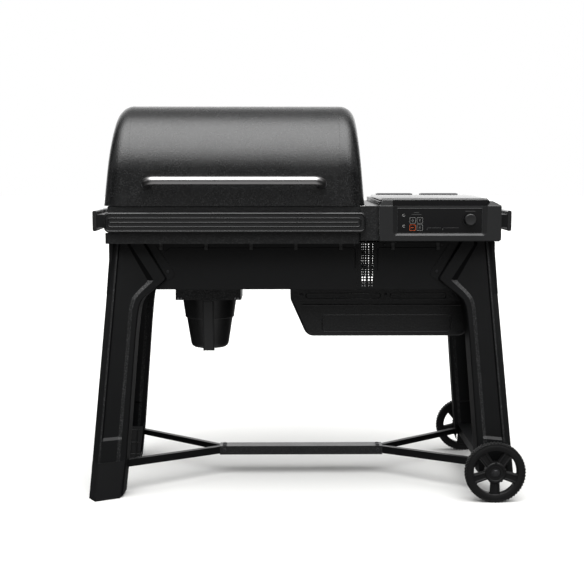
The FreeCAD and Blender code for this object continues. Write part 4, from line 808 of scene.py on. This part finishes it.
def ring_mark(shape, centre, radius, width, face, steps=28, start=0, end=360):
    """A flat printed ring, or part of one, on a face towards -Y."""
    outer = arc(centre, radius, start, end, steps)
    inner = arc(centre, radius - width, start, end, steps)
    rings = []
    for first, second in zip(outer, inner):
        rings.append([lift(first, "Y", face), lift(second, "Y", face),
                      lift(second, "Y", face - INK_RISE), lift(first, "Y", face - INK_RISE)])
    if end - start == 360:
        rings[-1] = rings[0]
        shape.loft(rings)
    else:
        shape.loft(rings, caps=(True, True))


def stroke(shape, path, width, face):
    """Printed straight strokes through the points of a path."""
    for near, far in zip(path, path[1:]):
        run = Vector((far[0] - near[0], far[1] - near[1])).normalized() * width / 2
        side = Vector((-run.y, run.x))
        first, last = Vector(near) - run, Vector(far) + run
        corners = [first + side, first - side, last - side, last + side]
        shape.prism([tuple(corner) for corner in corners], "Y", face - INK_RISE, face)


def frame_mark(shape, centre, half, radius, width, face):
    """A printed square outline with round corners."""
    loops = []
    for size, round_by in ((half, radius), (half - width, radius - width / 2)):
        loops.append(rounded(centre[0] - size, centre[1] - size, centre[0] + size,
                             centre[1] + size, round_by, 5))
    rings = []
    for first, second in zip(*loops):
        rings.append([lift(first, "Y", face), lift(second, "Y", face),
                      lift(second, "Y", face - INK_RISE), lift(first, "Y", face - INK_RISE)])
    rings.append(rings[0])
    shape.loft(rings)


KEY_X, KEY_Z, KEY_PITCH = 307.0, 804.0, 20.7
KEY_FACE, GLASS_FACE = -287.42, -287.02


def build_key_marks():
    """A frame and a plain pictogram on each key; the lower left key is lit."""
    for column, side in ((0, "left"), (1, "right")):
        for row, level in ((0, "lower"), (1, "upper")):
            across, up = KEY_X + column * KEY_PITCH, KEY_Z + row * KEY_PITCH
            lit = (column, row) == (0, 0)
            mark = Shape()
            frame_mark(mark, (across, up), 8.6, 2.0, 0.85, KEY_FACE)
            if lit:
                stroke(mark, [(across - 3.6, up), (across - 0.6, up)], 1.5, KEY_FACE)
                stroke(mark, [(across + 1.6, up), (across + 3.4, up)], 0.9, KEY_FACE)
            elif (column, row) == (0, 1):
                ring_mark(mark, (across, up - 0.4), 2.6, 0.8, KEY_FACE, steps=18)
                stroke(mark, [(across, up + 2.4), (across, up + 3.4)], 0.8, KEY_FACE)
            elif (column, row) == (1, 1):
                stroke(mark, [(across - 1.8, up + 2.2), (across + 1.8, up + 2.2)], 0.9, KEY_FACE)
                stroke(mark, [(across, up + 2.2), (across, up - 2.6)], 1.0, KEY_FACE)
            else:
                for rise in (-2.0, 0, 2.0):
                    stroke(mark, [(across - 2.2, up + rise), (across + 2.2, up + rise)], 0.7,
                           KEY_FACE)
            body = "key_" + level[0] + side[0]
            mark.make(f"key_{level}_{side}_mark", AMBER if lit else INK, body=body,
                      slot="key_plastic", bevel=0)


build_key_marks()


def build_glass_marks():
    """Two round signs, a level line and small rules beside the dial; no lettering."""
    marks = Shape()
    for across, up, gap in ((281.0, 839.6, 60), (281.5, 808.2, 20)):
        ring_mark(marks, (across, up), 4.1, 1.3, GLASS_FACE, start=gap, end=gap + 300)
        stroke(marks, [(across, up), (across, up + 3.2)], 1.3, GLASS_FACE)
    marks.make("display_signs", INK, slot="display_glass", bevel=0)
    rules = Shape()
    stroke(rules, [(350, 803.4), (388, 803.4)], 0.9, GLASS_FACE)
    stroke(rules, [(396, 803.4), (440, 803.4)], 0.9, GLASS_FACE)
    for across in (349, 394):
        stroke(rules, [(across, 797.5), (across, 800.5)], 1.6, GLASS_FACE)
    stroke(rules, [(311, 847.6), (324, 847.6)], 1.3, GLASS_FACE)
    stroke(rules, [(304, 842.0), (331, 842.0)], 1.3, GLASS_FACE)
    stroke(rules, [(459, 851.2), (486, 851.2)], 1.3, GLASS_FACE)
    rules.make("display_rules", FAINT_INK, slot="display_glass", bevel=0)


build_glass_marks()


def build_dial():
    """A drum with a rolled edge and a soft dish, on the encoder's shaft."""
    front, back = -304.9, -288.3
    profile = [(3.1, back), (15.6, back), (16.6, back - 0.8), (16.9, back - 3), (16.6, front + 3),
               (15.9, front + 1.2), (14.6, front + 0.2), (12.8, front + 0.4), (8, front + 1.3),
               (4, front + 1.6), (0.01, front + 1.7)]
    dial = Shape()
    dial.lathe(profile, "Y", (472.0, 827.5), 72)
    dial.make("dial_knob_turned", KNOB, body="dial", slot="key_plastic",
              replaces=["dial_knob"], bevel=0, angle=40)
    ring = Shape()
    hoop = [(22.4, -288.0), (22.4, -289.3), (21.5, -289.9), (20.2, -289.6), (19.2, -288.4),
            (19.2, -288.0)]
    ring.lathe(hoop, "Y", (472.0, 827.5), 72, closed=True)
    ring.make("dial_ring", KNOB, slot="display_glass", bevel=0)


build_dial()

# -------------------------------------------------------------------------- keg, cover


def build_keg():
    """A spun cup with a rolled bead, a strap down its front and a lip round its mouth."""
    centre = (-295.0, -29.0)
    wall = 1.5
    outside = [(0.01, 418), (40, 418), (49, 419.5), (55, 423.5), (58.4, 430), (59.8, 438),
               (71.2, 510.5), (72.2, 512.6), (74.6, 513.4), (75.9, 515.2), (75.9, 517.2),
               (76.2, 520), (83.5, 571.3), (91.6, 571.4), (91.9, 572.8), (91.6, 574.2)]
    inside = [(84, 574.2), (82.0, 572.0), (83.5 - wall, 570), (75.9 - wall, 520),
              (71.2 - wall, 510.5), (59.8 - wall, 438), (55, 426), (40, 420.5), (0.01, 420.5)]
    cup = Shape()
    cup.lathe(outside + inside, "Z", centre, 96)
    cup.make("ash_keg_spun", KEG_COAT, body="keg", slot="textured_coat_black",
             replaces=["ash_keg"], bevel=0, angle=32)
    line = Shape()
    profile = [(72.4, 512.2), (75.4, 513.2), (76.4, 514.8), (75.6, 516.4), (73.6, 516.4)]
    line.lathe(profile, "Z", centre, 96, closed=True)
    # the bead takes the lighter hook coat: a painted highlight along it
    line.make("ash_keg_bead", HOOK, body="keg", slot="textured_coat_black", bevel=0, angle=60)
    strap = Shape()
    rows = ((570.6, -113.0, -121.6), (560, -111.5, -120.6), (515, -105.4, -114.2),
            (435, -89.6, -98.4), (420, -87.6, -95.2), (414.2, -83.2, -92.4))
    rings = []
    for up, back, front in rows:
        half, edge = 17.3, 2.6
        rings.append([(-295 - half, back, up), (-295 + half, back, up),
                      (-295 + half, front + 1.2, up), (-295 + half - 0.8, front, up),
                      (-295 + half - edge, front, up), (-295 + half - edge - 1, front + 1.3, up),
                      (-295 - half + edge + 1, front + 1.3, up), (-295 - half + edge, front, up),
                      (-295 - half + 0.8, front, up), (-295 - half, front + 1.2, up)])
    strap.loft(rings, caps=(True, True))
    strap.make("keg_strap", BEZEL, body="keg", slot="powder_coat_black",
               replaces=["keg_handle"], bevel=0.4, angle=20)


build_keg()


def hex_bolt(shape, centre, radius, rise, axis, outward):
    """A bolt head with a washer under it."""
    flat, along = centre
    washer = [(radius * 1.35, along), (radius * 1.35, along + outward * 0.9),
              (0.01, along + outward * 0.9)]
    shape.lathe(washer, axis, flat, 24)
    rings = []
    for size, place in ((radius, 0.9), (radius, rise - 0.8), (radius * 0.85, rise)):
        ring = arc(flat, size, 0, 300, 5)
        rings.append([lift(point, axis, along + outward * place) for point in ring])
    shape.loft(rings, caps=(True, True))


def build_keg_bracket_trim():
    """Bolts at the lower corners of the keg's bracket, and a plate on its face."""
    trim = Shape()
    for left, sign in ((-391.6, 1), (-196.4, -1)):
        for step in (6.5, 15.5):
            hex_bolt(trim, ((left + sign * step, 580.5), -123.6), 3.4, 3.0, "Y", -1)
    trim.make("keg_bracket_bolts", STEEL_WORN, slot="steel_dark", bevel=0.2)
    # the bracket's face takes the glint coat: painted highlight and painted glints
    face = Shape()
    face.box((-390.6, -124.7, 577.5), (-197.4, -123.6, 611.5))
    face.make("keg_bracket_face", PAINTED_GLINT, slot="textured_coat_black", bevel=0.4)


build_keg_bracket_trim()


def build_cover():
    """The pressed pan over the auger: a flange, two long slots, a bead and a raised panel."""
    left, right, top, bottom = -43.0, 503.0, 610.0, 460.0
    corner = 32.0
    slant = math.degrees(math.atan2(112, 50))
    low_left = (left + 50 + corner * math.tan(math.radians(slant / 2)) * 0.999, bottom + corner)
    outline = arc(low_left, corner, 180 + 90 - slant, 270, 8)
    outline = [(left, top), (left, top - 38)] + outline
    outline += arc((right - corner, bottom + corner), corner, -90, 0, 8) + [(right, top)]
    soft = 9.0
    middle = ((left + right) / 2 + 12, (top + bottom) / 2 + 16)

    def drawn_in(amount):
        points = []
        for across, up in outline:
            heading = Vector((across - middle[0], up - middle[1]))
            scale = Vector((1 - amount / 265.0, 1 - amount / 84.0))
            if up > top - 1:
                points.append((middle[0] + heading.x * scale.x, up))
            else:
                points.append((middle[0] + heading.x * scale.x, middle[1] + heading.y * scale.y))
        return points

    pan = Shape()
    rings = [[lift(point, "Y", 69.5) for point in drawn_in(0)]]
    for turn in range(0, 91, 15):
        angle = math.radians(turn)
        amount, depth = soft * (1 - math.cos(angle)), soft * math.sin(angle)
        rings.append([lift(point, "Y", -91 - depth) for point in drawn_in(amount)])
    pan.loft(rings, caps=(False, True))
    pan.make("auger_cover_pan", TEXTURED, slot="textured_coat_black",
             replaces=["auger_cover"], bevel=0, angle=50)
    trim = Shape()
    front = -99.9
    trim.box((left + 1, front - 1.6, 571), (right - 4, front + 6, 609.5))
    trim.bead([(left + 34, front, 556.6), (right - 10, front, 556.6)], 7.0, 2.2)
    trim.make("auger_cover_band", TEXTURED, slot="textured_coat_black", bevel=2.0, segments=3)
    lines = Shape()
    face = front - 1.6
    for start, end in ((4, 232), (262, 432)):
        loop = [(across, face, up) for across, up in rounded(start, 576, end, 592, 7, 6)]
        lines.bead(loop, 4.0, 1.8, closed=True)
    panel = rounded(54, 474, 448, 526, 10, 6)
    lines.bead([(across, front, up) for across, up in panel], 3.6, 1.2, closed=True)
    lines.make("auger_cover_pressings", RAIL, slot="textured_coat_black", bevel=0)


build_cover()

# ----------------------------------------------------------------------------- wheels

WHEEL_X, WHEEL_Z, WHEEL_RADIUS = 554.0, 89.0, 89.0
TREAD_TEETH, TREAD_DEPTH = 56, 3.0
SPOKES = 5


def tread_ring(radius, deep, phase, grooved):
    """One ring of the tyre; grooved is how deep its notches are."""
    points = []
    steps = TREAD_TEETH * 4
    for index in range(steps):
        notch = (index + phase) % 4 in (2, 3)
        size = radius - (grooved if notch else 0)
        angle = 2 * math.pi * (index + 0.25 * (1 if notch else 0)) / steps
        points.append((WHEEL_X + size * math.cos(angle), deep, WHEEL_Z + size * math.sin(angle)))
    return points


def build_wheel(name, body, outer, inner):
    """A moulded wheel between two planes of y: treaded tyre, web of spokes, hub."""
    sign = 1 if inner > outer else -1
    width = abs(inner - outer)

    def at(depth):
        return outer + sign * depth

    tyre = Shape()
    rings = []
    for radius, depth, phase, grooved in (
            (64.0, 5.0, 0, 0), (66.5, 1.8, 0, 0), (72.0, 0.4, 0, 0), (80.0, 0.2, 0, 0),
            (82.0, 1.0, 0, 0), (84.5, 0.3, 0, 0), (87.2, 0.8, 0, 0.8), (89.0, 2.6, 0, TREAD_DEPTH),
            (89.0, width * 0.36, 0, TREAD_DEPTH), (89.0, width * 0.40, 2, TREAD_DEPTH),
            (89.0, width * 0.64, 2, TREAD_DEPTH), (89.0, width * 0.68, 0, TREAD_DEPTH),
            (89.0, width - 2.6, 0, TREAD_DEPTH), (87.2, width - 0.8, 0, 0.8),
            (84.0, width - 0.3, 0, 0), (72.0, width - 0.4, 0, 0), (66.5, width - 1.8, 0, 0),
            (64.0, width - 5.0, 0, 0)):
        rings.append(tread_ring(radius, at(depth), phase, grooved))
    rings.append(rings[0])
    tyre.loft(rings)
    tyre.make(f"{name}_tyre", WHEEL, body=body, slot="wheel_plastic", replaces=[name], bevel=0,
              angle=28)
    web = Shape()
    for index in range(SPOKES):
        turn = math.radians(-90 + 360 / SPOKES * index)
        along = Vector((math.cos(turn), 0, math.sin(turn)))
        aside = Vector((-math.sin(turn), 0, math.cos(turn)))
        rings = []
        for radius, half in ((24, 11.5), (34, 11.6), (58, 12.6), (65.6, 15.5)):
            ring = []
            for share, depth in ((-1, 3.5), (-0.62, 3.2), (-0.5, 5.2), (0.5, 5.2), (0.62, 3.2),
                                 (1, 3.5), (1.22, width * 0.5), (1, width - 4),
                                 (-1, width - 4), (-1.22, width * 0.5)):
                place = along * radius + aside * half * share
                ring.append((WHEEL_X + place.x, at(depth), WHEEL_Z + place.z))
            rings.append(ring)
        web.loft(rings, caps=(True, True))
    web.make(f"{name}_spokes", WHEEL, body=body, slot="wheel_plastic", bevel=0.8, angle=24)
    hub = Shape()
    profile = [(6.3, at(5)), (13.5, at(5)), (14.5, at(2.6)), (22.5, at(2.4)), (24.2, at(1.0)),
               (28.5, at(0.9)), (31.0, at(3.0)), (31.5, at(width - 3)), (24, at(width - 1)),
               (6.3, at(width - 1))]
    hub.lathe(profile, "Y", (WHEEL_X, WHEEL_Z), 72, closed=True)
    hub.make(f"{name}_hub", WHEEL, body=body, slot="wheel_plastic", bevel=0, angle=30)
    spans = Shape()
    for index in range(SPOKES):
        turn = math.radians(-90 + 360 / SPOKES * (index + 0.5))
        spot = (WHEEL_X + 29 * math.cos(turn), WHEEL_Z + 29 * math.sin(turn))
        spans.lathe([(3.4, at(1.2)), (3.4, at(0.5)), (2.6, at(0.2)), (0.01, at(0.2))], "Y",
                    spot, 20)
    spans.make(f"{name}_studs", WHEEL, body=body, slot="wheel_plastic", bevel=0, angle=30)


build_wheel("wheel_front", "front_wheel", -328.9, -301.1)
build_wheel("wheel_rear", "rear_wheel", 328.9, 301.1)

# -------------------------------------------------------------------------- stretcher


def build_bar_trim():
    """Domed and hexagonal heads of the stretcher's bolts, and the two axle nuts."""
    bolts = Shape()
    for across in (-252.0, 234.0):
        for deep in (-12.0, 12.0):
            dome = [(6.2, 97.0), (6.2, 98.2), (5.2, 99.8), (3.0, 100.4), (0.01, 100.5)]
            bolts.lathe(dome, "Z", (across, deep), 20)
        for outward in (-1, 1):
            hex_bolt(bolts, ((across, 84.0), 25.0 * outward), 5.4, 3.5, "Y", outward)
    for outward in (-1, 1):
        hex_bolt(bolts, ((WHEEL_X, WHEEL_Z), 323.6 * outward), 9.6, 4.9, "Y", outward)
        stub = [(5.6, 326 * outward), (5.6, 328.6 * outward), (4.6, 328.9 * outward),
                (0.01, 328.9 * outward)]
        bolts.lathe(stub, "Y", (WHEEL_X, WHEEL_Z), 24)
    bolts.make("frame_bolt_heads", DARK_STEEL, slot="steel_dark", replaces=["frame_bolts"],
               bevel=0.3)


build_bar_trim()

# --------------------------------------------------------------------- hopper lid


def build_hopper_lid():
    """A folded lid with a soft front edge, on two long hinge knuckles."""
    low, high = -240.0, 160.0
    left, right, bottom, top = 220.0, 533.0, 881.0, 886.6
    lid = Shape()
    profile = [(low + 0.2, bottom), (low, bottom + 2), (low + 0.6, top - 3),
               (low + 3, top - 0.8), (low + 6, top), (high - 3, top), (high, top - 3),
               (high, bottom)]
    rings = []
    for across, shrink in ((left, 3.0), (left + 0.8, 1.2), (left + 3, 0.0), (right - 3, 0.0),
                           (right - 0.8, 1.2), (right, 3.0)):
        rings.append([(across, deep, min(up, top - shrink)) for deep, up in profile])
    lid.loft(rings, caps=(True, True))
    lid.make("hopper_lid_folded", HOPPER_TOP, body="hopper_lid", slot="powder_coat_black",
             replaces=["hopper_lid"], bevel=0, angle=30)
    bars = Shape()
    for start, end in ((241.4, 351.6), (383.4, 499.6)):
        hoop = arc((166.0, 887.2), 4.2, 0, 330, 11)
        bars.prism(hoop, "X", start, end)
        bars.box((start, 156, 884), (end, 166, 888.2))
    bars.make("hopper_lid_knuckles", DARK_STEEL, body="hopper_lid", slot="powder_coat_black",
              bevel=0.3)


build_hopper_lid()


# ------------------------------------------------------------------------------- floor

FLOOR = grained("floor_paper", (0.62, 0.62, 0.61), 0.85, grain=60, depth=0.0001, patch=0.01,
                specular=0.1)
floor_mesh = bpy.data.meshes.new("floor")
floor_mesh.from_pydata([(-9, -5, 0), (9, -5, 0), (9, 30, 0), (-9, 30, 0)], [], [(0, 1, 2, 3)])
floor_mesh.materials.append(FLOOR)
floor_piece = bpy.data.objects.new("floor", floor_mesh)
floor_piece.visible_glossy = False
floor_piece.visible_diffuse = False
SCENE.collection.objects.link(floor_piece)
